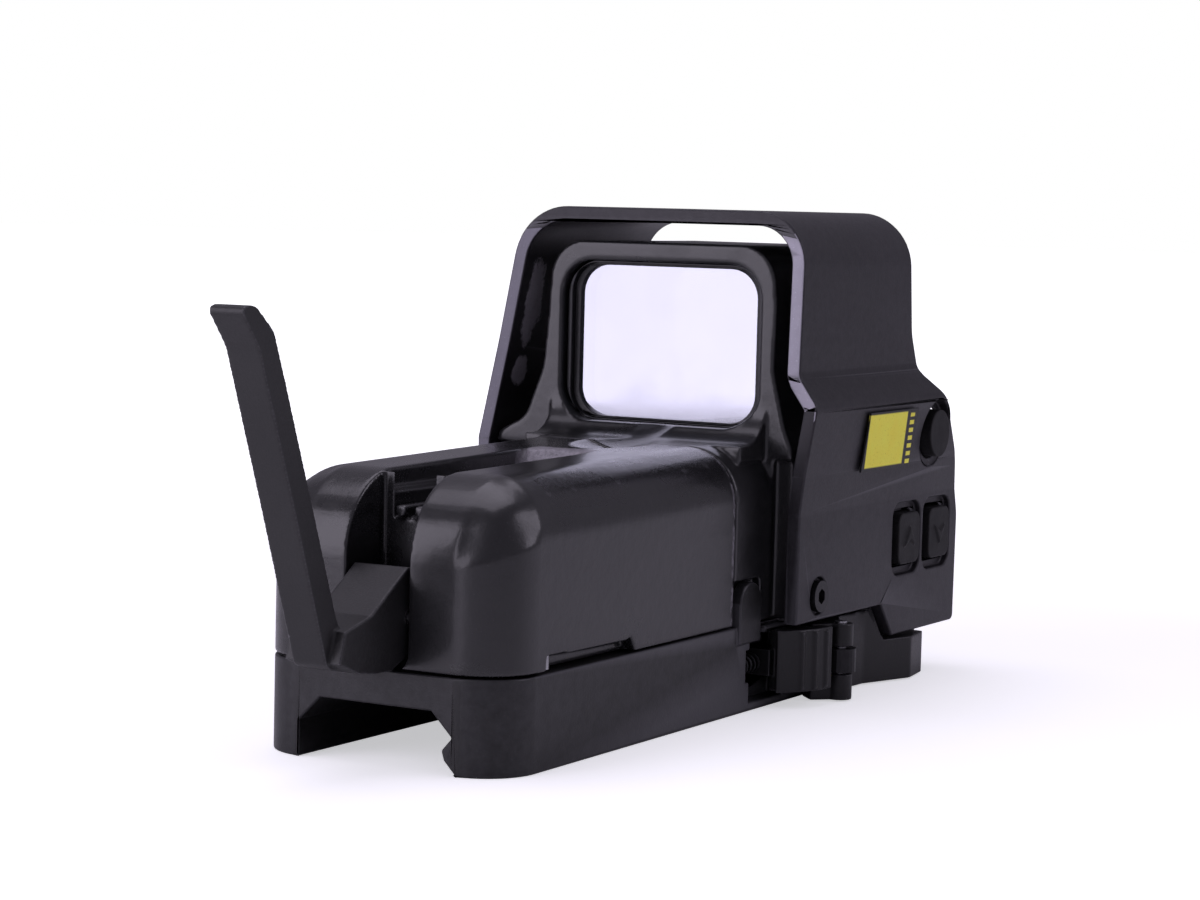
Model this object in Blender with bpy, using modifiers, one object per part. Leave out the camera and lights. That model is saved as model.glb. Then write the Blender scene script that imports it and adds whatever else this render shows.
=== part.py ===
"""Window-type reflex sight on a quick-release rail base, as separate parts in their working places.

+X is the sight's left side with the buttons and the clamp lever, -Y is the front with the battery cap, +Z is up.
The origin is the middle of the rail seat. Sizes below are in millimetres, and MM turns them into metres.
"""

import math

import bmesh
import bpy
from mathutils import Matrix, Vector

MM = 0.001
GAP = 0.3  # clearance that neighbouring parts keep

# Overall layout
FRONT_Y = -70.0
BASE_REAR_Y = 62.0
HALF_WIDTH = 20.1
FOOT_Z = -8.3
BASE_TOP_Z = 4.7
BODY_BOTTOM_Z = BASE_TOP_Z + GAP
CORNER_RADIUS = 8.0
DECK_Z = 31.2

# Rail groove
SEAT_HALF = 8.8
GROOVE_HALF = 12.05
CHAMFER_Z = -(GROOVE_HALF - SEAT_HALF)
LIP_X = 10.5

# Battery cap and its lever
CAP_REAR_Y = -6.3
CAP_FRONT_RADIUS = 11.0
SLOT_HALF = 5.0
SLOT_FLOOR_Z = 23.8
LEDGE_Z = 27.4
RIB_X = (-1.7, 1.3)
RECESS_REAR_Y = -61.2
LEVER_PIVOT = (-68.2, 11.8)  # y, z
LEVER_PIN_RADIUS = 1.0
ARM_HALF = 2.6
FOOT_HALF = 4.3
CELL_RADIUS = 7.25
CELL_LENGTH = 49.5
CELL_X = 8.3
CELL_Z = 14.15
BAY_RADIUS = 7.45
BAY_FRONT_Y = -59.9
CELL_FRONT_Y = -59.0
CONTACT_BOARD_Y = -7.6

# Hood
HOOD_FRONT_Y = 3.8
HOOD_REAR_Y = 63.4
HOOD_TOP_Z = 66.0
HOOD_WALL = 2.2
HOOD_LEFT_X = 25.6
HOOD_RIGHT_X = -31.0
HOOD_BOTTOM_Z = 4.6
HOOD_SCREW = (11.2, 8.3)  # y, z

# Main housing and window
HOUSING_FRONT_Y = CAP_REAR_Y + GAP
HOUSING_REAR_Y = 60.5
HOUSING_LEFT_X = HOOD_LEFT_X - HOOD_WALL - GAP
HOUSING_RIGHT_X = HOOD_RIGHT_X + HOOD_WALL + GAP
WIDE_BODY_Y = 6.4
WINDOW_FRONT_Y = 5.5
WINDOW_REAR_Y = 42.0
WINDOW_TOP_Z = 60.8
WINDOW_HALF = 19.7
MOUTH = (17.2, 33.2, 57.9, 5.5)  # half width, low z, high z, corner radius
CLEAR = (14.3, 34.2, 56.6, 4.5)
GLASS_THICK = 2.0
SEAL_THICK = 0.6

# Quick-release clamp
PIN_X, PIN_Y = 26.3, 17.8
BOLT_Z = -2.0
BOLT_RADIUS = 1.5
EYE_RADIUS = 2.5
KNUCKLE_RADIUS = 2.0
CLAMP_TOP_Z = 3.6
CLAMP_LOW_Z = -8.1
JAW_Y = (2.1, 33.9)

# Buttons on the left wall: name, y, z, face x
ARROW_BUTTONS = (("up_button", 43.1, 14.5), ("down_button", 54.9, 14.5))
ARROW_SIZE = (8.0, 8.2)
ARROW_RECESS = (10.7, 11.6)
NIGHT_BUTTON = (50.0, 31.0)
NIGHT_RADIUS = 3.8
NIGHT_RECESS_RADIUS = 5.4
BUTTON_PROUD = 0.9

# Adjusters on the right wall: name, y, z
ADJUSTERS = (("windage_screw", 22.0, 17.0), ("elevation_screw", 36.0, 17.0))
BASE_SCREWS = ((-6.0, -3.0), (6.0, -3.0), (-6.0, 57.7), (6.0, 57.7))  # x, y


# ---------------------------------------------------------------- scene and materials


def clear_scene():
    for obj in list(bpy.data.objects):
        bpy.data.objects.remove(obj, do_unlink=True)


def make_collection(name, hidden=False):
    collection = bpy.data.collections.new(name)
    bpy.context.scene.collection.children.link(collection)
    collection.hide_render = hidden
    return collection


def make_material(name, colour, roughness, metallic=0.0, alpha=1.0):
    material = bpy.data.materials.new(name)
    material.use_nodes = True
    shader = material.node_tree.nodes["Principled BSDF"]
    shader.inputs["Base Color"].default_value = (*colour, 1.0)
    shader.inputs["Roughness"].default_value = roughness
    shader.inputs["Metallic"].default_value = metallic
    shader.inputs["Alpha"].default_value = alpha
    return material


clear_scene()
PARTS = make_collection("window_reflex_sight")
CUTTERS = make_collection("cutters", hidden=True)

MATERIALS = {
    "anodised": make_material("anodised", (0.018, 0.018, 0.02), 0.45, 0.6),
    "hood_metal": make_material("hood_metal", (0.03, 0.03, 0.034), 0.42, 0.6),
    "moulded": make_material("moulded", (0.012, 0.012, 0.013), 0.28),
    "lever_black": make_material("lever_black", (0.01, 0.01, 0.011), 0.5),
    "steel": make_material("steel", (0.5, 0.5, 0.52), 0.3, 1.0),
    "black_steel": make_material("black_steel", (0.03, 0.03, 0.03), 0.35, 1.0),
    "brass": make_material("brass", (0.75, 0.55, 0.2), 0.3, 1.0),
    "rubber": make_material("rubber", (0.015, 0.015, 0.015), 0.8),
    "glass": make_material("glass", (0.8, 0.82, 0.95), 0.03, 0.0, 0.3),
    "board": make_material("board", (0.02, 0.12, 0.05), 0.5),
    "cell_wrap": make_material("cell_wrap", (0.1, 0.12, 0.16), 0.4),
    "label": make_material("label", (0.75, 0.6, 0.05), 0.5),
}


# ---------------------------------------------------------------- shape helpers (millimetres)


def arc(centre_u, centre_v, radius, start, end, steps=6):
    """Points on an arc, both ends included, with angles in degrees."""
    angles = [math.radians(start + (end - start) * i / steps) for i in range(steps + 1)]
    return [(centre_u + radius * math.cos(a), centre_v + radius * math.sin(a)) for a in angles]


def rounded(corners, steps=5, closed=True):
    """An outline through (u, v, radius) corners, each rounded by an arc of its radius."""
    outline = []
    count = len(corners)
    for i, (u, v, radius) in enumerate(corners):
        if radius == 0 or (not closed and i in (0, count - 1)):
            outline.append((u, v))
            continue
        here = Vector((u, v))
        before = (Vector(corners[i - 1][:2]) - here).normalized()
        after = (Vector(corners[(i + 1) % count][:2]) - here).normalized()
        half = before.angle(after) / 2
        reach = radius / math.tan(half)
        centre = here + (before + after).normalized() * radius / math.sin(half)
        first = here + before * reach - centre
        last = here + after * reach - centre
        turn = first.angle_signed(last)
        for step in range(steps + 1):
            share = -turn * step / steps
            outline.append(tuple(centre + Matrix.Rotation(share, 2) @ first))
    return outline


def rounded_box_outline(low_u, high_u, low_v, high_v, radius, steps=5):
    corners = [(low_u, low_v), (high_u, low_v), (high_u, high_v), (low_u, high_v)]
    return rounded([(u, v, radius) for u, v in corners], steps)


def offset_path(path, distance):
    """An open path moved sideways, to the right of its direction."""
    moved = []
    for i, point in enumerate(path):
        here = Vector(point)
        ahead = (Vector(path[min(i + 1, len(path) - 1)]) - here).normalized()
        behind = (here - Vector(path[max(i - 1, 0)])).normalized()
        direction = (ahead + behind).normalized()
        stretch = max(0.5, direction.dot(ahead if ahead.length else behind))
        normal = Vector((direction.y, -direction.x))
        moved.append(tuple(here + normal * distance / stretch))
    return moved


def place(obj, material, collection=None):
    for owner in list(obj.users_collection):
        owner.objects.unlink(obj)
    (collection or PARTS).objects.link(obj)
    obj.data.materials.clear()
    obj.data.materials.append(MATERIALS[material])
    return obj


def mesh_object(name, mesh_builder, material, collection=None):
    """A new object whose mesh is made by mesh_builder(bm) in millimetres."""
    bm = bmesh.new()
    mesh_builder(bm)
    bmesh.ops.scale(bm, vec=(MM, MM, MM), verts=bm.verts)
    bmesh.ops.recalc_face_normals(bm, faces=bm.faces)
    mesh = bpy.data.meshes.new(name)
    bm.to_mesh(mesh)
    bm.free()
    return place(bpy.data.objects.new(name, mesh), material, collection)


def box(name, low, high, material="anodised", collection=None):
    size = [b - a for a, b in zip(low, high)]
    middle = [(a + b) / 2 for a, b in zip(low, high)]

    def build(bm):
        bmesh.ops.create_cube(bm, size=1.0)
        bmesh.ops.scale(bm, vec=size, verts=bm.verts)
        bmesh.ops.translate(bm, vec=middle, verts=bm.verts)

    return mesh_object(name, build, material, collection)


def cylinder(name, start, end, radius, material="anodised", collection=None, sides=24, end_radius=None):
    start, end = Vector(start), Vector(end)
    turn = (end - start).to_track_quat("Z", "Y").to_matrix().to_4x4()

    def build(bm):
        bmesh.ops.create_cone(
            bm,
            cap_ends=True,
            segments=sides,
            radius1=radius,
            radius2=radius if end_radius is None else end_radius,
            depth=(end - start).length,
        )
        bmesh.ops.transform(bm, matrix=Matrix.Translation((start + end) / 2) @ turn, verts=bm.verts)

    return mesh_object(name, build, material, collection)


# Where an outline's u, v and its extrusion go, by the axis that it is extruded along.
OUTLINE_FRAMES = {
    "X": Matrix(((0, 0, 1), (1, 0, 0), (0, 1, 0))),
    "Y": Matrix(((1, 0, 0), (0, 0, -1), (0, 1, 0))),
    "Z": Matrix(((1, 0, 0), (0, 1, 0), (0, 0, 1))),
}
AXIS_VECTORS = {"X": Vector((1, 0, 0)), "Y": Vector((0, 1, 0)), "Z": Vector((0, 0, 1))}


def plate(name, loops, axis, low, high, material="anodised", collection=None):
    """Closed outlines (the first is the outside, others are holes) extruded along an axis from low to high."""
    if isinstance(loops[0], tuple):
        loops = [loops]
    curve = bpy.data.curves.new(name, "CURVE")
    curve.dimensions = "2D"
    curve.fill_mode = "BOTH"
    curve.extrude = (high - low) / 2 * MM
    for loop in loops:
        spline = curve.splines.new("POLY")
        spline.points.add(len(loop) - 1)
        for point, (u, v) in zip(spline.points, loop):
            point.co = (u * MM, v * MM, 0, 1)
        spline.use_cyclic_u = True
    curve_object = bpy.data.objects.new(name + "_outline", curve)
    curve_object.matrix_world = Matrix.Translation(AXIS_VECTORS[axis] * (low + high) / 2 * MM) @ (
        OUTLINE_FRAMES[axis].to_4x4()
    )
    PARTS.objects.link(curve_object)
    return curve_to_mesh(curve_object, name, material, collection)


def curve_to_mesh(curve_object, name, material, collection=None):
    """The curve's evaluated shape as a mesh object with its caps welded on and its transform applied."""
    bpy.context.view_layer.update()
    graph = bpy.context.evaluated_depsgraph_get()
    mesh = bpy.data.meshes.new_from_object(curve_object.evaluated_get(graph))
    mesh.name = name
    mesh.transform(curve_object.matrix_world)
    bm = bmesh.new()
    bm.from_mesh(mesh)
    bmesh.ops.remove_doubles(bm, verts=bm.verts, dist=0.001 * MM)
    bmesh.ops.recalc_face_normals(bm, faces=bm.faces)
    bm.to_mesh(mesh)
    bm.free()
    curve = curve_object.data
    bpy.data.objects.remove(curve_object, do_unlink=True)
    bpy.data.curves.remove(curve)
    return place(bpy.data.objects.new(name, mesh), material, collection)


def coil(name, start, end, radius, wire, turns, material="steel"):
    """A helical compression spring between two points."""
    start, end = Vector(start), Vector(end)
    turn = (end - start).to_track_quat("Z", "Y").to_matrix()
    length = (end - start).length
    count = int(turns * 12) + 1
    curve = bpy.data.curves.new(name, "CURVE")
    curve.dimensions = "3D"
    curve.bevel_depth = wire * MM
    curve.bevel_resolution = 2
    curve.use_fill_caps = True
    spline = curve.splines.new("POLY")
    spline.points.add(count - 1)
    for i, point in enumerate(spline.points):
        angle = 2 * math.pi * i / 12
        local = Vector((radius * math.cos(angle), radius * math.sin(angle), length * i / (count - 1)))
        point.co = (*((start + turn @ local) * MM), 1)
    curve_object = bpy.data.objects.new(name + "_path", curve)
    PARTS.objects.link(curve_object)
    return curve_to_mesh(curve_object, name, material)


def combine(target, operation, *tools):
    for tool in tools:
        modifier = target.modifiers.new(tool.name, "BOOLEAN")
        modifier.operation = operation
        modifier.solver = "EXACT"
        modifier.object = tool
        tool.hide_render = True
        tool.display_type = "WIRE"
        if tool.name not in CUTTERS.objects:
            place(tool, "anodised", CUTTERS)
    return target


def cut(target, *tools):
    return combine(target, "DIFFERENCE", *tools)


def join(target, *tools):
    return combine(target, "UNION", *tools)


def keep_inside(target, *tools):
    return combine(target, "INTERSECT", *tools)


def set_origin(obj, point):
    """Moves the object's origin to a point in millimetres without moving its shape."""
    place_at = Vector(point) * MM
    obj.data.transform(Matrix.Translation(-place_at))
    obj.location = place_at
    return obj


# ---------------------------------------------------------------- mount base


def make_base():
    outline = rounded(
        [
            (-HALF_WIDTH, FRONT_Y, CORNER_RADIUS),
            (HALF_WIDTH, FRONT_Y, CORNER_RADIUS),
            (HALF_WIDTH, BASE_REAR_Y, 2.5),
            (-HALF_WIDTH, BASE_REAR_Y, 2.5),
        ],
        steps=7,
    )
    base = plate("mount_base", outline, "Z", FOOT_Z, BASE_TOP_Z)
    below = FOOT_Z - 1
    groove = [
        (-SEAT_HALF, 0.0),
        (-GROOVE_HALF, CHAMFER_Z),
        (-GROOVE_HALF, below),
        (GROOVE_HALF + 0.85, below),
        (GROOVE_HALF + 0.4, -7.9),
        (LIP_X + 0.4, -6.3),
        (LIP_X, -5.0),
        (GROOVE_HALF, CHAMFER_Z),
        (SEAT_HALF, 0.0),
    ]
    cut(base, plate("cut_groove", groove, "Y", FRONT_Y - 1, BASE_REAR_Y + 1))
    cut(base, box("cut_jaw_pocket", (-21, JAW_Y[0] - GAP, below), (-9.5, JAW_Y[1] + GAP, 0.4)))
    cut(base, box("cut_bolt_relief", (-9.7, PIN_Y - 2.2, -1.0), (10.0, PIN_Y + 2.2, 0.4)))
    cut(base, cylinder("cut_bolt_hole", (8, PIN_Y, BOLT_Z), (22, PIN_Y, BOLT_Z), BOLT_RADIUS + GAP))
    cut(base, box("cut_lock_slot", (16.0, -1.5, -3.9), (21.0, 10.4, 0.9)))
    for i, (x, y) in enumerate(BASE_SCREWS):
        cut(base, cylinder(f"cut_base_screw_{i}", (x, y, -1), (x, y, 6), 1.5))
        cut(base, cylinder(f"cut_base_head_{i}", (x, y, -1), (x, y, 2.3), 2.6))
    lug = rounded([(-4.9, -2.0, 0), (1.9, -2.0, 0), (1.9, 11.2, 3.2), (-4.9, 11.2, 3.2)])
    join(base, plate("lug", lug, "X", HALF_WIDTH + GAP, HALF_WIDTH + 1.9))
    join(base, box("lug_root", (HALF_WIDTH - 1, -4.6, -1.6), (HALF_WIDTH + 1.0, -2.0, 4.1)))
    for i, (x, y) in enumerate(BASE_SCREWS):
        head = cylinder(f"base_screw_{i + 1}", (x, y, 0.4), (x, y, 2.0), 2.3, "black_steel", sides=18)
        cut(head, cylinder(f"cut_base_socket_{i}", (x, y, 0), (x, y, 1.3), 1.2, sides=6))
        join(head, cylinder(f"base_shank_{i}", (x, y, 1.8), (x, y, 10.5), 1.2, sides=18))


def make_clamp():
    jaw_section = [
        (-20.0, 0.1),
        (-9.8, 0.1),
        (-9.8, -1.0),
        (-GROOVE_HALF, CHAMFER_Z),
        (-LIP_X, -5.0),
        (-LIP_X - 0.4, -6.3),
        (-GROOVE_HALF - 0.4, -8.0),
        (-20.0, -8.0),
    ]
    jaw = plate("clamp_jaw", jaw_section, "Y", *JAW_Y)
    cut(jaw, box("cut_jaw_bolt", (-21, PIN_Y - 1.8, BOLT_Z - 1.8), (-8, PIN_Y + 1.8, 1.0)))

    bolt = cylinder("clamp_bolt", (-23.6, PIN_Y, BOLT_Z), (PIN_X - 1.6, PIN_Y, BOLT_Z), BOLT_RADIUS, "steel")
    eye = [arc(PIN_X, PIN_Y, EYE_RADIUS, 0, 345, 23), arc(PIN_X, PIN_Y, 1.0, 0, 345, 23)]
    eye_plate = plate("eye", eye, "Z", BOLT_Z - 1.8, BOLT_Z + 1.8)
    join(bolt, eye_plate)
    cut(bolt, cylinder("cut_eye_bore", (PIN_X, PIN_Y, -5), (PIN_X, PIN_Y, 2), 1.0))

    nut = cylinder("clamp_nut", (-23.4, PIN_Y, BOLT_Z), (-20.3, PIN_Y, BOLT_Z), 3.6, "black_steel", sides=6)
    cut(nut, cylinder("cut_nut_bore", (-25, PIN_Y, BOLT_Z), (-19, PIN_Y, BOLT_Z), BOLT_RADIUS + 0.05))


def make_qd_lever():
    outline = [
        *arc(PIN_X, PIN_Y, KNUCKLE_RADIUS, 70, -105, 10),
        *arc(PIN_X, PIN_Y, 5.0, 236, 222, 2),
        *arc(PIN_X, PIN_Y, 5.6, 196, 184, 2),
        *rounded(
            [(20.6, 18.6, 0), (20.6, 45.5, 2.0), (23.4, 51.0, 1.0), (25.6, 51.0, 0.8), (26.8, 43.6, 1.5)]
            + [(23.3, 33.0, 4.0), (23.0, 24.0, 2.0), (25.0, 20.6, 0)],
            closed=False,
        ),
    ]
    lever = plate("qd_lever", outline, "Z", CLAMP_LOW_Z, CLAMP_TOP_Z)
    cut(lever, box("cut_lever_slot", (19, 10, BOLT_Z - 2.1), (30, PIN_Y + 3.4, BOLT_Z + 2.1)))
    tail = [(34.0, 5.0), (34.0, CLAMP_TOP_Z), (37.5, -1.4), (53.0, -1.4), (53.0, 5.0)]
    cut(lever, plate("cut_lever_tail", tail, "X", 19, 30))
    cut(lever, cylinder("cut_lever_pin", (PIN_X, PIN_Y, -9), (PIN_X, PIN_Y, 5), 1.0))
    set_origin(lever, (PIN_X, PIN_Y, 0))
    cylinder("qd_pin", (PIN_X, PIN_Y, -7.9), (PIN_X, PIN_Y, 3.9), 0.95, "steel", sides=20)

    body = rounded(
        [(20.6, 5.2, 0), (22.4, 5.2, 0), (22.4, 2.9, 0.3), (25.0, 6.4, 2.0), (26.7, 10.0, 4.0), (27.1, 13.7, 0.4)]
        + [(24.8, 13.7, 0), (24.3, 11.6, 0), (20.6, 11.6, 0)]
    )
    lock = plate("lever_lock", body, "Z", -8.0, CLAMP_TOP_Z)
    for i, (x, y) in enumerate(((25.0, 7.0), (26.05, 9.3), (26.75, 11.6))):
        join(lock, cylinder(f"lock_rib_{i}", (x, y, -7.4), (x, y, 3.0), 0.6, sides=12))
    join(lock, box("lock_tongue", (16.5, 4.5, -3.5), (21.2, 10.0, 0.5)))
    coil("lock_spring", (18.4, -1.0, -1.5), (18.4, 4.1, -1.5), 1.3, 0.2, 4)


# ---------------------------------------------------------------- battery cap


def make_cap():
    """A block with five rounded edges, hollowed for two cells and slotted for the lever."""
    rear_rise = 1.0

    def build(bm):
        bmesh.ops.create_cube(bm, size=1.0)
        size = (2 * HALF_WIDTH, CAP_REAR_Y - FRONT_Y, DECK_Z - BODY_BOTTOM_Z)
        bmesh.ops.scale(bm, vec=size, verts=bm.verts)
        middle = (0, (CAP_REAR_Y + FRONT_Y) / 2, (DECK_Z + BODY_BOTTOM_Z) / 2)
        bmesh.ops.translate(bm, vec=middle, verts=bm.verts)
        for vert in bm.verts:
            if vert.co.z > DECK_Z - 1 and vert.co.y < FRONT_Y + 1:
                vert.co.z -= rear_rise
        weights = bm.edges.layers.float.new("bevel_weight_edge")
        for edge in bm.edges:
            a, b = (vert.co for vert in edge.verts)
            on_top = min(a.z, b.z) > DECK_Z - 2
            at_front = max(a.y, b.y) < FRONT_Y + 1
            if on_top and at_front:
                edge[weights] = 1.0
            elif (on_top and abs(a.x - b.x) < 1) or (at_front and abs(a.z - b.z) > 5):
                edge[weights] = CORNER_RADIUS / CAP_FRONT_RADIUS

    cap = mesh_object("battery_cap", build, "moulded")
    bevel = cap.modifiers.new("edges", "BEVEL")
    bevel.limit_method = "WEIGHT"
    bevel.width = CAP_FRONT_RADIUS * MM
    bevel.segments = 6
    slot = [(RECESS_REAR_Y, LEDGE_Z), (-24.5, LEDGE_Z), (-19.5, 33), (-19.5, 36), (RECESS_REAR_Y, 36)]
    cut(cap, plate("cut_slot", slot, "X", -SLOT_HALF, SLOT_HALF))
    deep = [(-63.0, SLOT_FLOOR_Z), (-28.5, SLOT_FLOOR_Z), (-25.0, 29), (-63.0, 29)]
    cut(cap, plate("cut_slot_floor", deep, "X", -ARM_HALF - 0.7, ARM_HALF + 0.7))
    recess = (-SLOT_HALF + 0.2, FRONT_Y - 1, 3), (SLOT_HALF - 0.2, RECESS_REAR_Y, 36)
    cut(cap, box("cut_recess", *recess))
    for i, x in enumerate(RIB_X):
        rib = [
            (RECESS_REAR_Y + 1, 22.0),
            (RECESS_REAR_Y - 0.9, 22.0),
            *arc(RECESS_REAR_Y + 0.4, 23.6, 1.3, 180, 90, 3),
            (-42.0, 26.2),
            (-26.0, 26.2),
            (-26.0, 22.0),
        ]
        join(cap, plate(f"slot_rib_{i}", rib, "X", x - 0.6, x + 0.6))
    bay = rounded_box_outline(
        -CELL_X - BAY_RADIUS, CELL_X + BAY_RADIUS, CELL_Z - BAY_RADIUS, CELL_Z + BAY_RADIUS, BAY_RADIUS - 0.01, 8
    )
    cut(cap, plate("cut_bay", bay, "Y", BAY_FRONT_Y, CAP_REAR_Y + 1))
    notch = [(-59.6, 4), (-59.6, 9.2), (-56.0, 8.6), (-36.5, 6.9), (-34.4, 4)]
    cut(cap, plate("cut_notch", notch, "X", 18.2, 21))
    pin_y, pin_z = LEVER_PIVOT
    pin_ends = (-9.0, pin_y, pin_z), (9.0, pin_y, pin_z)
    cut(cap, cylinder("cut_cap_pin", *pin_ends, LEVER_PIN_RADIUS + 0.03, sides=20))
    cylinder("lever_pin", (-8.7, pin_y, pin_z), (8.7, pin_y, pin_z), LEVER_PIN_RADIUS, "steel", sides=20)
    cylinder("tether_pin", (19.3, -58.7, 5.2), (19.3, -58.7, 8.7), 0.5, "steel", sides=12)


def make_battery_lever():
    """Raised, as it is when the cap is being taken off."""
    pin_y, pin_z = LEVER_PIVOT
    arm = rounded(
        [(-84.6, 6.4, 2.0), (-79.0, 6.4, 0), (-82.8, 13.0, 1.0), (-88.8, 28.6, 0), (-94.6, 43.6, 0)]
        + [(-97.2, 50.0, 3.0), (-101.0, 53.2, 2.0), (-104.4, 53.2, 0.8), (-100.2, 48.0, 6.0), (-91.8, 26.0, 0)]
    )
    lever = plate("battery_lever", arm, "X", -ARM_HALF, ARM_HALF, "lever_black")
    foot = [
        (-84.4, 7.4),
        (-80.0, 5.7),
        (-76.5, 5.2),
        (-72.5, 5.1),
        (-70.6, 5.9),
        *arc(pin_y, pin_z, 4.9, 275, 322, 5),
        *arc(pin_y, pin_z, 4.9, 340, 400, 5),
        (-67.2, 18.2),
        (-69.0, 18.4),
        (-77.4, 12.9),
        (-83.2, 11.4),
    ]
    join(lever, plate("lever_foot", foot, "X", -FOOT_HALF, FOOT_HALF))
    cut(lever, cylinder("cut_lever_bore", (-6, pin_y, pin_z), (6, pin_y, pin_z), LEVER_PIN_RADIUS + 0.05, sides=20))
    set_origin(lever, (0, pin_y, pin_z))


def make_cells():
    for name, side, nub_first in (("battery_a", -1, True), ("battery_b", 1, False)):
        x = side * CELL_X
        rear_y = CELL_FRONT_Y + CELL_LENGTH
        nub = 1.4
        body_front = CELL_FRONT_Y + (nub if nub_first else 0)
        body_rear = rear_y - (0 if nub_first else nub)
        cell = cylinder(name, (x, body_front, CELL_Z), (x, body_rear, CELL_Z), CELL_RADIUS, "cell_wrap", sides=32)
        tip = (CELL_FRONT_Y, body_front + 1) if nub_first else (body_rear - 1, rear_y)
        join(cell, cylinder(f"nub_{name}", (x, tip[0], CELL_Z), (x, tip[1], CELL_Z), 2.7, sides=20))
    inner = CELL_X + 5.2
    strip = rounded_box_outline(-inner, inner, CELL_Z - 4.5, CELL_Z + 4.5, 2.0, 3)
    plate("front_contact", strip, "Y", -59.65, -59.3, "brass")
    reach = BAY_RADIUS - 0.5
    board = rounded_box_outline(-CELL_X - reach, CELL_X + reach, CELL_Z - reach, CELL_Z + reach, reach - 0.01, 6)
    plate("contact_board", board, "Y", CONTACT_BOARD_Y, HOUSING_FRONT_Y - GAP, "board")
    for name, x, front in (("contact_spring_a", -CELL_X, -9.0), ("contact_spring_b", CELL_X, -9.0)):
        coil(name, (x, front, CELL_Z), (x, CONTACT_BOARD_Y - 0.45, CELL_Z), 2.6, 0.2, 1.5)


# ---------------------------------------------------------------- main housing and window


def window_outline(spec, inset=0.0, steps=5):
    half, low, high, radius = spec
    return rounded_box_outline(
        -half + inset, half - inset, low + inset, high - inset, max(0.5, radius - inset), steps
    )


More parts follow.
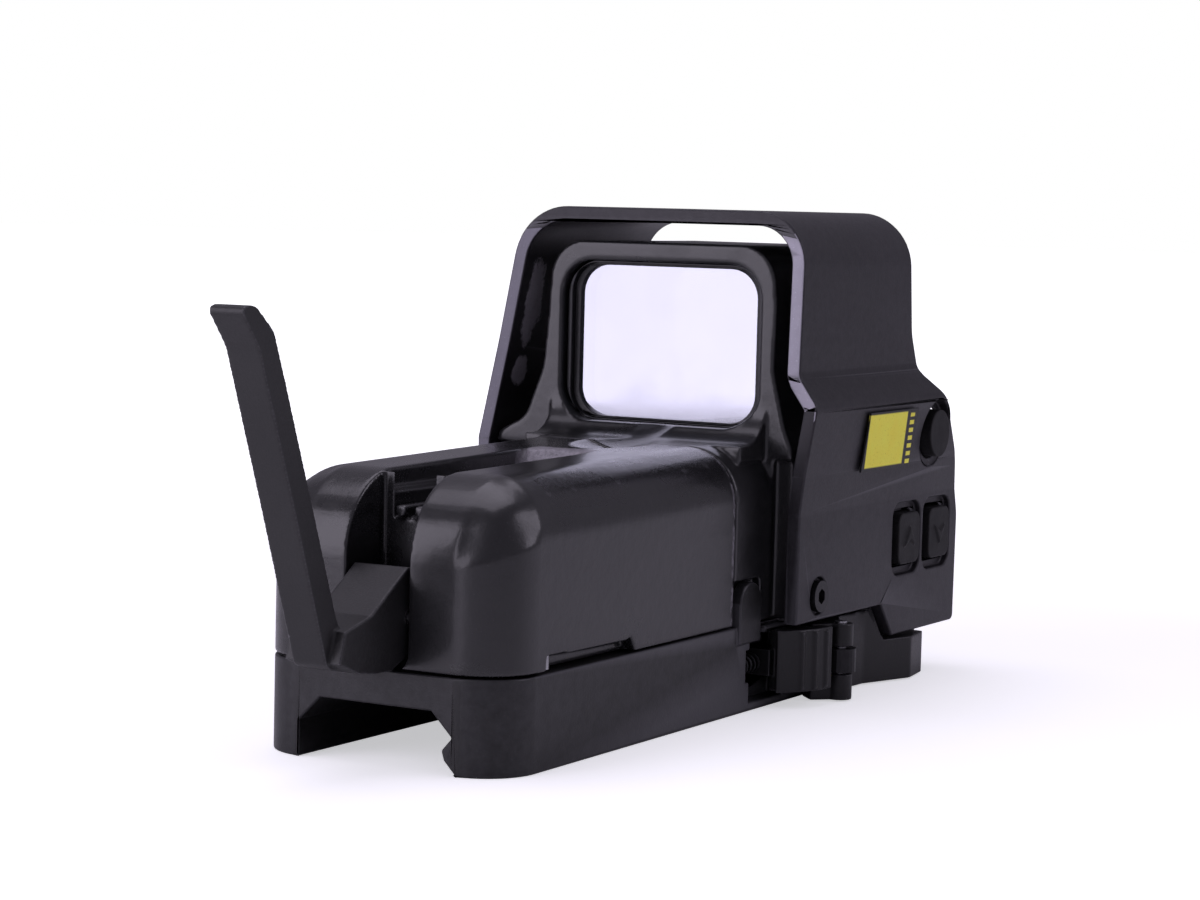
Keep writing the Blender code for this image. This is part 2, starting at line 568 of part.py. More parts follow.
def make_housing():
    shoulder = rounded(
        [
            (-HALF_WIDTH, BODY_BOTTOM_Z, 0),
            (HALF_WIDTH, BODY_BOTTOM_Z, 0),
            (HALF_WIDTH, DECK_Z, CORNER_RADIUS),
            (-HALF_WIDTH, DECK_Z, CORNER_RADIUS),
        ],
        steps=6,
    )
    housing = plate("main_housing", shoulder, "Y", HOUSING_FRONT_Y, WIDE_BODY_Y + 1, "moulded")
    left, right, top = HOUSING_LEFT_X, HOUSING_RIGHT_X, WINDOW_TOP_Z
    block = rounded(
        [(right, BODY_BOTTOM_Z, 0), (left, BODY_BOTTOM_Z, 0), (left, 30.6, 1.5), (21.8, 33.6, 4.0)]
        + [(WINDOW_HALF, 42.0, 8.0), (WINDOW_HALF + 0.2, 52.0, 0), (WINDOW_HALF - 0.6, top, 6.0)]
        + [(-WINDOW_HALF + 0.6, top, 6.0), (-WINDOW_HALF, 50.0, 0), (-WINDOW_HALF - 0.8, 41.0, 8.0)]
        + [(-23.6, 33.0, 4.0), (right, 30.6, 1.5)],
        steps=4,
    )
    wide = plate("wide_body", block, "Y", WINDOW_FRONT_Y, HOUSING_REAR_Y)
    side = [
        (WINDOW_FRONT_Y - 1, 0),
        (WINDOW_FRONT_Y - 1, 70),
        (WINDOW_REAR_Y, 70),
        (WINDOW_REAR_Y, 45),
        (46.5, 38.0),
        (54.0, 30.5),
        (59.0, 25.0),
        (HOUSING_REAR_Y + 1, 19.0),
        (HOUSING_REAR_Y + 1, 0),
    ]
    keep_inside(wide, plate("side_profile", side, "X", -40, 40))
    cut(wide, box("cut_low_front_l", (HALF_WIDTH, 0, 0), (40, WIDE_BODY_Y, 29.0)))
    cut(wide, box("cut_low_front_r", (-40, 0, 0), (-HALF_WIDTH, WIDE_BODY_Y, 29.0)))
    join(housing, wide)
    sill = [(-1.5, 30.0), (-1.0, DECK_Z), (2.2, 31.9), (4.2, 33.4), (5.2, 35.0), (5.4, 36.5), (6.5, 36.5), (6.5, 30)]
    join(housing, plate("sill", sill, "X", -18.0, 18.0))

    mouth, clear = window_outline(MOUTH), window_outline(CLEAR)
    cut(housing, plate("cut_front_mouth", mouth, "Y", WINDOW_FRONT_Y - 2, WINDOW_FRONT_Y + 8.6))
    cut(housing, plate("cut_rear_mouth", mouth, "Y", WINDOW_REAR_Y - 8.6, WINDOW_REAR_Y + 12))
    cut(housing, plate("cut_tunnel", clear, "Y", WINDOW_FRONT_Y + 7, WINDOW_REAR_Y - 5))

    cut(housing, box("cut_electronics_bay", (-16, 0.5, 4), (16, 55, 26)))
    cut(housing, box("cut_light_port", (-4.6, 26.0, 20), (4.6, 32.5, 35)))
    for i, (x, y) in enumerate(BASE_SCREWS):
        cut(housing, cylinder(f"cut_housing_screw_{i}", (x, y, 4), (x, y, 11), 1.25, sides=18))
    screw_y, screw_z = HOOD_SCREW
    for tag, sign, face in (("l", 1, left), ("r", -1, right)):
        ends = (face + sign, screw_y, screw_z), (face - sign * 6.5, screw_y, screw_z)
        cut(housing, cylinder(f"cut_hood_thread_{tag}", *ends, 1.3, sides=18))
    for name, y, z in ADJUSTERS:
        cut(housing, cylinder(f"cut_{name}", (-30, y, z), (-15, y, z), 1.8, sides=20))
    for name, y, z in ARROW_BUTTONS:
        pocket = rounded_box_outline(y - 5.4, y + 5.4, z - 5.5, z + 5.5, 1.5, 3)
        cut(housing, plate(f"cut_pocket_{name}", pocket, "X", 19.4, 25))
    y, z = NIGHT_BUTTON
    cut(housing, cylinder("cut_pocket_night", (21.4, y, z), (25, y, z), NIGHT_RADIUS + 1.2, sides=28))
    finger = [(-8.0, 33.0), (-5.8, 30.6), (-1.0, 29.2), (3.2, 30.4), (4.4, 33.0)]
    cut(housing, plate("cut_finger_scoop", finger, "X", -9.0, 9.0))
    seal_path = (CELL_X + BAY_RADIUS + 1.8, CELL_Z - BAY_RADIUS - 0.6, CELL_Z + BAY_RADIUS + 1.6, 8.0)
    outer = window_outline(seal_path)
    inner = window_outline(seal_path, 1.8)
    cut(housing, plate("cut_seal_groove", [outer, inner], "Y", HOUSING_FRONT_Y - 1, HOUSING_FRONT_Y + 1.2))
    outer, inner = window_outline(seal_path, 0.3), window_outline(seal_path, 1.5)
    plate("cap_seal", [outer, inner], "Y", HOUSING_FRONT_Y + 0.1, HOUSING_FRONT_Y + 0.9, "rubber")


def make_window(name, face_y, direction):
    """Bezel, glass and seal in a mouth, stacked inwards from face_y along direction."""
    layers = (
        (f"{name}_bezel", 3.4, 5.2, "anodised"),
        (f"{name}_glass", 5.5, 5.5 + GLASS_THICK, "glass"),
        (f"{name}_seal", 7.7, 7.7 + SEAL_THICK, "rubber"),
    )
    for node, near, far, material in layers:
        loops = [window_outline(MOUTH, 0.3)]
        if not node.endswith("glass"):
            loops.append(window_outline(CLEAR))
        low, high = sorted((face_y + direction * near, face_y + direction * far))
        plate(node, loops, "Y", low, high, material)


def make_optics():
    plate("circuit_board", rounded_box_outline(-15, 15, 2, 54, 1.5, 2), "Z", 12.0, 13.6, "board")
    box("emitter_carriage", (-12, 20, 16), (9, 40, 22), "brass")
    emitter = box("emitter_module", (-3.6, 26.6, 22.3), (3.6, 32.0, 36.4), "anodised")
    cut(emitter, cylinder("cut_emitter", (0, 25, 34.9), (0, 28.4, 34.9), 1.1, sides=16))
    cylinder("emitter_lens", (0, 26.9, 34.9), (0, 27.9, 34.9), 0.8, "glass", sides=16)
    for name, y, z in ADJUSTERS:
        screw = cylinder(name, (-31.2, y, z), (-28.9, y, z), 3.1, "black_steel", sides=28)
        join(screw, cylinder(f"shank_{name}", (-29.5, y, z), (-12.6, y, z), 1.5, sides=20))
        cut(screw, box(f"cut_slot_{name}", (-32, y - 2.4, z - 0.45), (-30.3, y + 2.4, z + 0.45)))


# ---------------------------------------------------------------- hood and buttons


def hood_path():
    """The hood's outer skin seen from the front, from the right wall's foot over the top to the left wall's foot."""
    return rounded(
        [(HOOD_RIGHT_X, -3.0, 0), (HOOD_RIGHT_X, 29.5, 4.0), (-27.6, 45.0, 20.0), (-23.5, HOOD_TOP_Z, 9.5)]
        + [(25.4, HOOD_TOP_Z, 8.0), (24.9, 41.6, 2.5), (28.0, 37.2, 2.4), (26.2, 26.6, 4.0)]
        + [(HOOD_LEFT_X, 21.0, 4.0), (HOOD_LEFT_X, -3.0, 0)],
        steps=5,
        closed=False,
    )


def make_hood():
    skin = hood_path()
    section = skin + offset_path(skin, HOOD_WALL)[::-1]
    hood = plate("hood", section, "Y", HOOD_FRONT_Y, HOOD_REAR_Y + 0.2, "hood_metal")
    side = rounded(
        [(HOOD_FRONT_Y - 1, HOOD_BOTTOM_Z, 0), (HOOD_FRONT_Y - 1, 70, 0), (40.6, 70, 0), (42.6, 58.0, 4.0)]
        + [(44.2, 47.0, 6.0), (47.4, 40.6, 3.0), (53.0, 36.2, 4.0), (60.6, 27.0, 8.0)]
        + [(HOOD_REAR_Y, 17.0, 6.0), (HOOD_REAR_Y - 0.3, -0.8, 1.0), (38.7, -0.8, 0.4)]
        + [(34.1, HOOD_BOTTOM_Z, 0.6)],
        steps=4,
    )
    keep_inside(hood, plate("hood_side", side, "X", -40, 40))
    screw_y, screw_z = HOOD_SCREW
    for tag, sign, wall in (("left", 1, HOOD_LEFT_X), ("right", -1, HOOD_RIGHT_X)):
        inside, outside = wall - sign * 4, wall + sign * 2
        seat = wall - sign * 0.9
        cut(hood, cylinder(f"cut_screw_{tag}", (inside, screw_y, screw_z), (outside, screw_y, screw_z), 1.4))
        cut(hood, cylinder(f"cut_seat_{tag}", (seat, screw_y, screw_z), (outside, screw_y, screw_z), 2.9))
        head_low, head_high = seat + sign * GAP, wall + sign * 0.5
        head = cylinder(
            f"hood_screw_{tag}", (head_low, screw_y, screw_z), (head_high, screw_y, screw_z), 2.4, "black_steel"
        )
        shank = (head_low + sign * 0.2, screw_y, screw_z), (wall - sign * 8.4, screw_y, screw_z)
        join(head, cylinder(f"hood_shank_{tag}", *shank, 1.1, sides=18))
        socket = (head_high - sign * 1.0, screw_y, screw_z), (outside, screw_y, screw_z)
        cut(head, cylinder(f"cut_socket_{tag}", *socket, 1.2, sides=6))
    for name, y, z in ARROW_BUTTONS:
        recess = rounded_box_outline(
            y - ARROW_RECESS[0] / 2, y + ARROW_RECESS[0] / 2, z - ARROW_RECESS[1] / 2, z + ARROW_RECESS[1] / 2, 2.4
        )
        cut(hood, plate(f"cut_recess_{name}", recess, "X", HOOD_LEFT_X - 1.1, 30))
        hole = rounded_box_outline(
            y - ARROW_SIZE[0] / 2 - GAP, y + ARROW_SIZE[0] / 2 + GAP, z - ARROW_SIZE[1] / 2 - GAP,
            z + ARROW_SIZE[1] / 2 + GAP, 1.8, 4
        )
        cut(hood, plate(f"cut_hole_{name}", hole, "X", 22, 30))
    y, z = NIGHT_BUTTON
    cut(hood, cylinder("cut_night_recess", (25.9, y, z), (30, y, z), NIGHT_RECESS_RADIUS, sides=32))
    cut(hood, cylinder("cut_night_hole", (22, y, z), (30, y, z), NIGHT_RADIUS + GAP, sides=28))
    for name, y, z in ADJUSTERS:
        cut(hood, cylinder(f"cut_access_{name}", (-33, y, z), (-27, y, z), 3.6, sides=28))

    low, high = Vector((26.55, 26.4)), Vector((28.05, 35.6))
    across = Vector((high.y - low.y, low.x - high.x)).normalized() * 0.3
    corners = [low, low + across, high + across, high]
    plate("label_plate", [tuple(corner) for corner in corners], "Y", 22.2, 40.2, "label")


def make_buttons():
    flange_low, flange_high = 21.6, 22.6
    for name, y, z in ARROW_BUTTONS:
        half_y, half_z = ARROW_SIZE[0] / 2, ARROW_SIZE[1] / 2
        face = rounded_box_outline(y - half_y, y + half_y, z - half_z, z + half_z, 1.6, 4)
        button = plate(name, face, "X", flange_low + 0.5, HOOD_LEFT_X + BUTTON_PROUD, "rubber")
        rim = rounded_box_outline(y - half_y - 1, y + half_y + 1, z - half_z - 1, z + half_z + 1, 1.2, 3)
        join(button, plate(f"rim_{name}", rim, "X", flange_low, flange_high))
    y, z = NIGHT_BUTTON
    night = cylinder("night_button", (23.0, y, z), (27.9, y, z), NIGHT_RADIUS, "rubber", sides=28)
    join(night, cylinder("rim_night", (22.6, y, z), (23.5, y, z), NIGHT_RADIUS + 0.8, sides=28))
    for name, y, z in ARROW_BUTTONS:
        pad = rounded_box_outline(y - 5.0, y + 5.0, z - 5.1, z + 5.1, 1.2, 3)
        plate(name.replace("button", "membrane"), pad, "X", 19.7, 20.3, "rubber")


make_base()
make_clamp()
make_qd_lever()
make_cap()
make_battery_lever()
make_cells()
make_housing()
make_window("front", WINDOW_FRONT_Y, 1)
make_window("rear", WINDOW_REAR_Y, -1)
make_optics()
make_hood()
make_buttons()
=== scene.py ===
"""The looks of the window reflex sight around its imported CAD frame.

Shapes are in millimetres until they become meshes. X runs across the sight, Y to its rear and Z up.
Left is +X, as the user of the sight sees it. A name that starts with t_ is a tool that a Boolean uses up.
"""

import math

import bmesh
import bpy
from mathutils import Matrix, Vector


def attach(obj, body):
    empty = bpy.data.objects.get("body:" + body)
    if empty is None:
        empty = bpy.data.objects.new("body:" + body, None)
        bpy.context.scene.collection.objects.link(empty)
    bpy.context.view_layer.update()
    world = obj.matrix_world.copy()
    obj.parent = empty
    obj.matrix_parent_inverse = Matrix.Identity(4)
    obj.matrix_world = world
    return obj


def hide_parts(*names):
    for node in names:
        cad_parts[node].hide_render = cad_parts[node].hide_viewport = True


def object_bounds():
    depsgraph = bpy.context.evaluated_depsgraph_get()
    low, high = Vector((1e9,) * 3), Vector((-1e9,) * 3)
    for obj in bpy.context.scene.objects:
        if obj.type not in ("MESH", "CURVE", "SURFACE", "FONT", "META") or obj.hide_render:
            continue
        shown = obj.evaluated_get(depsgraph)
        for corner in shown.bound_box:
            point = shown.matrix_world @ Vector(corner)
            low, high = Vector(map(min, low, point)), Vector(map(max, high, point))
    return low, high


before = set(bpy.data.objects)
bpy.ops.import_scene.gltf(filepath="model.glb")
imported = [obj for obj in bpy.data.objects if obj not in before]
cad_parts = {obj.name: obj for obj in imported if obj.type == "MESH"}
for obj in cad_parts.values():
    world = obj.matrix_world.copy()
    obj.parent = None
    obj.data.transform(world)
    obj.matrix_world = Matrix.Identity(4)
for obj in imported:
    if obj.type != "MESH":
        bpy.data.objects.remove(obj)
CAD_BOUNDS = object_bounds()
MM = 0.001


# ---------------------------------------------------------------- camera, lights, floor

CAMERA_AZIMUTH = 29.68
CAMERA_PITCH = 4.71
CAMERA_ROLL = 1.43
CAMERA_DISTANCE = 459.95
CAMERA_LENS = 89.76
CAMERA_TARGET = (-8.63, 3.5, 28.75)
SENSOR_WIDTH = 36
CLIP_START = 0.01

WORLD_LIGHT = 0.23
WORLD_COLOUR = (0.97, 0.9, 1.1, 1)
BACKDROP_COLOUR = (1.0, 1.0, 1.0, 1)
LIGHT_COLOUR = (1.0, 0.93, 1.1)
# Name, place and target, width and height in metres, and power in watts.
LIGHTS = (
    ("top_soft", (-0.15, 0.05, 0.75), (0, 0, 0.03), (0.7, 0.6), 1.8),
    ("left_soft", (-0.30, -0.50, 0.2), (0, 0, 0.06), (0.5, 0.5), 1.75),
    ("right_soft", (0.75, 0.35, 0.45), (0, 0.03, 0.03), (0.4, 0.5), 1.2),
)
FLOOR_RADIUS = 6.0
FLOOR_COLOUR = (0.93, 0.93, 0.945, 1)
FLOOR_GLOW_COLOUR = (0.97, 0.97, 1.0, 1)
# Two distances from the floor's middle in metres, then the strength of its glow at each.
FLOOR_GLOW = (0.14, 0.6, 0.55, 1.1)


def make_camera():
    azimuth, pitch, roll = (math.radians(a) for a in (CAMERA_AZIMUTH, CAMERA_PITCH, CAMERA_ROLL))
    back = Vector((math.sin(azimuth) * math.cos(pitch), -math.cos(azimuth) * math.cos(pitch), math.sin(pitch)))
    right = (-back).cross(Vector((0, 0, 1))).normalized()
    up = right.cross(-back)
    rolled_right = right * math.cos(roll) + up * math.sin(roll)
    rolled_up = up * math.cos(roll) - right * math.sin(roll)
    data = bpy.data.cameras.new("camera")
    data.lens = CAMERA_LENS
    data.sensor_width = SENSOR_WIDTH
    data.clip_start = CLIP_START
    camera = bpy.data.objects.new("camera", data)
    bpy.context.scene.collection.objects.link(camera)
    place = Vector(CAMERA_TARGET) * MM + back * CAMERA_DISTANCE * MM
    turn = Matrix((rolled_right, rolled_up, back)).transposed().to_4x4()
    camera.matrix_world = Matrix.Translation(place) @ turn
    bpy.context.scene.camera = camera


def make_world():
    """A dim tinted world lights the object, and the camera sees a white backdrop in its place."""
    world = bpy.data.worlds.new("studio")
    world.use_nodes = True
    tree = world.node_tree
    shine = tree.nodes["Background"]
    shine.inputs["Color"].default_value = WORLD_COLOUR
    shine.inputs["Strength"].default_value = WORLD_LIGHT
    backdrop = tree.nodes.new("ShaderNodeBackground")
    backdrop.inputs["Color"].default_value = BACKDROP_COLOUR
    choose = tree.nodes.new("ShaderNodeMixShader")
    tree.links.new(tree.nodes.new("ShaderNodeLightPath").outputs["Is Camera Ray"], choose.inputs[0])
    tree.links.new(shine.outputs[0], choose.inputs[1])
    tree.links.new(backdrop.outputs[0], choose.inputs[2])
    tree.links.new(choose.outputs[0], tree.nodes["World Output"].inputs["Surface"])
    bpy.context.scene.world = world
    bpy.context.scene.view_settings.view_transform = "Standard"


def make_floor():
    """A pale disc that glows for camera rays only, more so away from the object."""
    bm = bmesh.new()
    bmesh.ops.create_circle(bm, cap_ends=True, segments=96, radius=FLOOR_RADIUS)
    mesh = bpy.data.meshes.new("floor")
    bm.to_mesh(mesh)
    bm.free()
    floor = bpy.data.objects.new("floor", mesh)
    floor.location.z = CAD_BOUNDS[0][2]
    bpy.context.scene.collection.objects.link(floor)
    material = bpy.data.materials.new("floor_white")
    material.use_nodes = True
    shader = material.node_tree.nodes["Principled BSDF"]
    shader.inputs["Base Color"].default_value = FLOOR_COLOUR
    shader.inputs["Roughness"].default_value = 0.55
    shader.inputs["Specular IOR Level"].default_value = 0.3
    shader.inputs["Emission Color"].default_value = FLOOR_GLOW_COLOUR
    nodes, links = material.node_tree.nodes, material.node_tree.links
    reach = nodes.new("ShaderNodeVectorMath")
    reach.operation = "LENGTH"
    fade = nodes.new("ShaderNodeMapRange")
    for index, value in enumerate(FLOOR_GLOW, 1):
        fade.inputs[index].default_value = value
    glow = nodes.new("ShaderNodeMath")
    glow.operation = "MULTIPLY"
    links.new(nodes.new("ShaderNodeTexCoord").outputs["Object"], reach.inputs[0])
    links.new(reach.outputs["Value"], fade.inputs[0])
    links.new(fade.outputs[0], glow.inputs[0])
    links.new(nodes.new("ShaderNodeLightPath").outputs["Is Camera Ray"], glow.inputs[1])
    links.new(glow.outputs[0], shader.inputs["Emission Strength"])
    floor.data.materials.append(material)


def make_lights():
    for name, place, target, size, power in LIGHTS:
        data = bpy.data.lights.new(name, "AREA")
        data.shape = "RECTANGLE"
        data.size, data.size_y = size
        data.energy = power
        data.color = LIGHT_COLOUR
        light = bpy.data.objects.new(name, data)
        bpy.context.scene.collection.objects.link(light)
        light.location = place
        light.visible_camera = False
        light.rotation_euler = (Vector(target) - Vector(place)).to_track_quat("-Z", "Y").to_euler()


# ---------------------------------------------------------------- materials

BARED_EDGE = (0.12, 0.12, 0.13)
ANODISED_GRAIN = 0.02
MOULDING_TONE = (0.008, 0.008, 0.0088)
RUBBER_TONE = (0.006, 0.006, 0.0063)
RUBBER_ROUGH = 0.55
PAINT_WEAR = (0.3, 0.285, 0.32)
HOOD_WEAR = (0.42, 0.4, 0.44)
# Centre and radii of the scuffed spots inside the hood's right wall.
HOOD_SPOTS = (((-24.6, 8.5, 51.0), (4.0, 2.6, 8.0)), ((-26.6, 8.5, 40.0), (3.0, 2.4, 2.6)))
LABEL_LEAN = 0.12


class Graph:
    """A material's node tree with short ways to add nodes to it."""

    def __init__(self, name):
        self.material = bpy.data.materials.new(name)
        self.material.use_nodes = True
        self.tree = self.material.node_tree
        self.shader = self.tree.nodes["Principled BSDF"]
        coordinates = self.tree.nodes.new("ShaderNodeTexCoord")
        self.place = coordinates.outputs["Object"]

    def node(self, kind, inputs=None, **settings):
        made = self.tree.nodes.new("ShaderNode" + kind)
        for key, value in settings.items():
            setattr(made, key, value)
        for key, value in (inputs or {}).items():
            self.set(made.inputs[key], value)
        return made

    def set(self, socket, value):
        if isinstance(value, bpy.types.NodeSocket):
            self.tree.links.new(value, socket)
        else:
            socket.default_value = value

    def noise(self, size_mm, detail=3.0, rough=0.55, stretch=None):
        """A noise whose features are about size_mm wide."""
        source = self.place
        if stretch:
            source = self.node("Mapping", {"Vector": source, "Scale": stretch}).outputs["Vector"]
        inputs = {"Vector": source, "Scale": 1000 / size_mm, "Detail": detail, "Roughness": rough}
        return self.node("TexNoise", inputs).outputs["Fac"]

    def ramp(self, value, low, high, out_low=0.0, out_high=1.0):
        return self.node("MapRange", {0: value, 1: low, 2: high, 3: out_low, 4: out_high}).outputs[0]

    def band(self, value, low, high, soft=0.0002):
        """1 between low and high, fading to 0 over soft metres inside both."""
        return self.math("MULTIPLY", self.ramp(value, low, low + soft), self.ramp(value, high, high - soft))

    def mix(self, factor, a, b):
        """A colour mix. A Mix node has its two colours at inputs 6 and 7 and the result at output 2."""
        made = self.node("Mix", data_type="RGBA")
        self.set(made.inputs[0], factor)
        for index, value in ((6, a), (7, b)):
            self.set(made.inputs[index], value if isinstance(value, bpy.types.NodeSocket) else (*value, 1.0))
        return made.outputs[2]

    def math(self, operation, a, b=0.0):
        return self.node("Math", {0: a, 1: b}, operation=operation).outputs[0]

    def edge(self, low, high):
        """1 on outward edges and 0 elsewhere, broken up by a noise."""
        pointed = self.node("NewGeometry").outputs["Pointiness"]
        broken = self.math("ADD", pointed, self.math("MULTIPLY", self.noise(1.4, 4.0), 0.03))
        return self.ramp(broken, low, high)

    def bump(self, layers):
        """layers is a list of (height socket, distance in mm)."""
        normal = None
        for height, distance in layers:
            inputs = {"Height": height, "Distance": distance * MM, "Strength": 1.0}
            if normal:
                inputs["Normal"] = normal
            normal = self.node("Bump", inputs).outputs["Normal"]
        self.set(self.shader.inputs["Normal"], normal)

    def finish(self, **inputs):
        """Sets the shader's inputs, whose names here have _ for a space."""
        for key, value in inputs.items():
            self.set(self.shader.inputs[key.replace("_", " ")], value)
        return self.material


def anodised(name, dark, light, rough, metallic, worn=None):
    """Bead-blasted and anodised aluminium: fine grain, cloudy tone and slightly bared edges.

    worn is a function that adds patches of wear to the graph, and returns their mask and colour.
    """
    g = Graph(name)
    cloud = g.noise(14.0, 4.0)
    fine = g.noise(0.35, 2.0)
    colour = g.mix(g.ramp(cloud, 0.35, 0.7), dark, light)
    colour = g.mix(g.ramp(fine, 0.62, 0.8, 0.0, 0.35), colour, tuple(c * 2.2 for c in light))
    colour = g.mix(g.math("MULTIPLY", g.edge(0.535, 0.6), 0.6), colour, BARED_EDGE)
    uneven = g.math("ADD", g.math("MULTIPLY", fine, 0.5), g.math("MULTIPLY", cloud, 0.5))
    roughness = g.ramp(uneven, 0.3, 0.7, rough - 0.07, rough + 0.09)
    layers = [(fine, ANODISED_GRAIN), (g.noise(2.6, 3.0), ANODISED_GRAIN * 0.8)]
    if worn:
        patch, bare = worn(g)
        colour = g.mix(patch, colour, bare)
        roughness = g.math("ADD", roughness, g.math("MULTIPLY", patch, 0.25))
        layers.append((g.math("MULTIPLY", patch, g.noise(0.8, 5.0, 0.7)), 0.25))
    g.bump(layers)
    return g.finish(Base_Color=colour, Roughness=roughness, Metallic=metallic)


def glossy_moulding(name, rough, worn=None):
    """Black moulding with an orange-peel skin, faint scuffs and a hint of dust. worn is as for anodised."""
    g = Graph(name)
    peel = g.noise(1.9, 2.0, 0.5)
    speck = g.noise(0.28, 2.0)
    cloud = g.noise(22.0, 4.0)
    base = g.mix(g.ramp(cloud, 0.35, 0.7), MOULDING_TONE, tuple(c * 1.6 for c in MOULDING_TONE))
    base = g.mix(g.ramp(speck, 0.68, 0.78, 0.0, 0.5), base, (0.05, 0.05, 0.055))
    base = g.mix(g.math("MULTIPLY", g.edge(0.53, 0.6), 0.45), base, (0.07, 0.07, 0.075))
    scuff = g.ramp(g.noise(7.0, 6.0, 0.65, stretch=(1.0, 0.22, 1.0)), 0.55, 0.75, 0.0, 0.14)
    roughness = g.math("ADD", g.ramp(cloud, 0.3, 0.7, rough - 0.04, rough + 0.06), scuff)
    roughness = g.math("ADD", roughness, g.ramp(speck, 0.6, 0.75, 0.0, 0.12))
    layers = [(peel, 0.045), (speck, 0.012)]
    if worn:
        patch, bare = worn(g)
        base = g.mix(patch, base, bare)
        roughness = g.math("ADD", roughness, g.math("MULTIPLY", patch, 0.4))
        layers.append((g.math("MULTIPLY", patch, g.noise(0.9, 5.0, 0.7)), 0.3))
    g.bump(layers)
    return g.finish(Base_Color=base, Roughness=roughness, Coat_Weight=0.25, Coat_Roughness=0.12)


def spot(g, centre, radii):
    """1 inside a ragged patch round a point in millimetres."""
    middle, scale = tuple(c * MM for c in centre), tuple(1 / (r * MM) for r in radii)
    offset = g.node("VectorMath", {0: g.place, 1: middle}, operation="SUBTRACT").outputs[0]
    scaled = g.node("VectorMath", {0: offset, 1: scale}, operation="MULTIPLY").outputs[0]
    reach = g.node("VectorMath", {0: scaled}, operation="LENGTH").outputs["Value"]
    ragged = g.math("MULTIPLY", g.math("SUBTRACT", g.noise(2.0, 5.0, 0.7), 0.5), 1.08)
    return g.ramp(g.math("ADD", reach, ragged), 1.0, 0.8)


def slot_patch(g):
    """Bare rough paint on the slope at the slot's rear end, and a rubbed line along the rear rim."""
    parts = g.node("SeparateXYZ", {0: g.place}).outputs
    along = parts["Y"]
    torn = g.math("ADD", along, g.math("MULTIPLY", g.math("SUBTRACT", g.noise(1.5, 4.0, 0.7), 0.5), 0.003))
    patch = g.math("MULTIPLY", g.ramp(torn, -0.0275, -0.0269), g.ramp(torn, -0.0204, -0.0212))
    patch = g.math("MULTIPLY", patch, g.ramp(g.math("ABSOLUTE", parts["X"]), 0.0052, 0.0047))
    patch = g.math("MULTIPLY", patch, g.ramp(g.noise(0.6, 4.0, 0.7), 0.3, 0.6, 0.45, 1.0))
    rim = g.ramp(along, -0.0073, -0.0069)
    rim = g.math("MULTIPLY", rim, g.ramp(g.noise(1.2, 4.0, 0.7), 0.42, 0.58, 0.0, 0.6))
    return g.math("MAXIMUM", patch, rim), PAINT_WEAR


def hood_patch(g):
    """Scuffed spots on the inside of the hood's right wall, which faces +X."""
    upper, lower = (spot(g, centre, radii) for centre, radii in HOOD_SPOTS)
    both = g.math("MAXIMUM", upper, lower)
    facing = g.node("SeparateXYZ", {0: g.node("NewGeometry").outputs["Normal"]}).outputs["X"]
    return g.math("MULTIPLY", both, g.ramp(facing, 0.2, 0.5, 0.0, 0.9)), HOOD_WEAR


def rubber(name):
    """Matt black rubber with a fine tooth and a little dust."""
    g = Graph(name)
    fine = g.noise(0.3, 3.0)
    cloud = g.noise(4.0, 4.0)
    base = g.mix(g.ramp(cloud, 0.3, 0.7), RUBBER_TONE, tuple(c * 1.8 for c in RUBBER_TONE))
    base = g.mix(g.ramp(fine, 0.66, 0.8, 0.0, 0.4), base, (0.06, 0.06, 0.06))
    g.bump([(fine, 0.02), (g.noise(1.2), 0.02)])
    roughness = g.ramp(cloud, 0.3, 0.7, RUBBER_ROUGH - 0.06, RUBBER_ROUGH + 0.1)
    return g.finish(Base_Color=base, Roughness=roughness, Specular_IOR_Level=0.3)


def metal(name, colour, rough, metallic=1.0):
    """Turned or drawn metal with fine directional marks and darker grime."""
    g = Graph(name)
    lines = g.noise(0.5, 4.0, 0.6, stretch=(1, 1, 8))
    cloud = g.noise(3.0, 4.0)
    base = g.mix(g.ramp(cloud, 0.3, 0.75), colour, tuple(c * 0.6 for c in colour))
    g.bump([(lines, 0.01)])
    roughness = g.ramp(lines, 0.3, 0.7, rough - 0.06, rough + 0.1)
    return g.finish(Base_Color=base, Roughness=roughness, Metallic=metallic)


def coated_glass(name, tint, alpha, metallic=0.0):
    """A pane with a cool coating and a faint smear in its roughness. With metallic 1 the coating mirrors."""
    g = Graph(name)
    cloud = g.noise(18.0, 3.0)
    colour = g.mix(g.ramp(cloud, 0.35, 0.65), tint, tuple(0.97 * c for c in tint))
    rough = g.ramp(g.noise(9.0, 4.0), 0.3, 0.7, 0.03, 0.09)
    return g.finish(Base_Color=colour, Roughness=rough, Alpha=alpha, Metallic=metallic)


def board_material(name):
    """Green solder mask with lighter tracks."""
    g = Graph(name)
    tracks = g.node("TexBrick", {"Vector": g.place, "Scale": 300.0, "Mortar Size": 0.03}).outputs["Fac"]
    base = g.mix(tracks, (0.012, 0.07, 0.03), (0.03, 0.14, 0.06))
    g.bump([(tracks, 0.03), (g.noise(0.4), 0.01)])
    return g.finish(Base_Color=base, Roughness=g.ramp(g.noise(2.0), 0.3, 0.7, 0.35, 0.55))


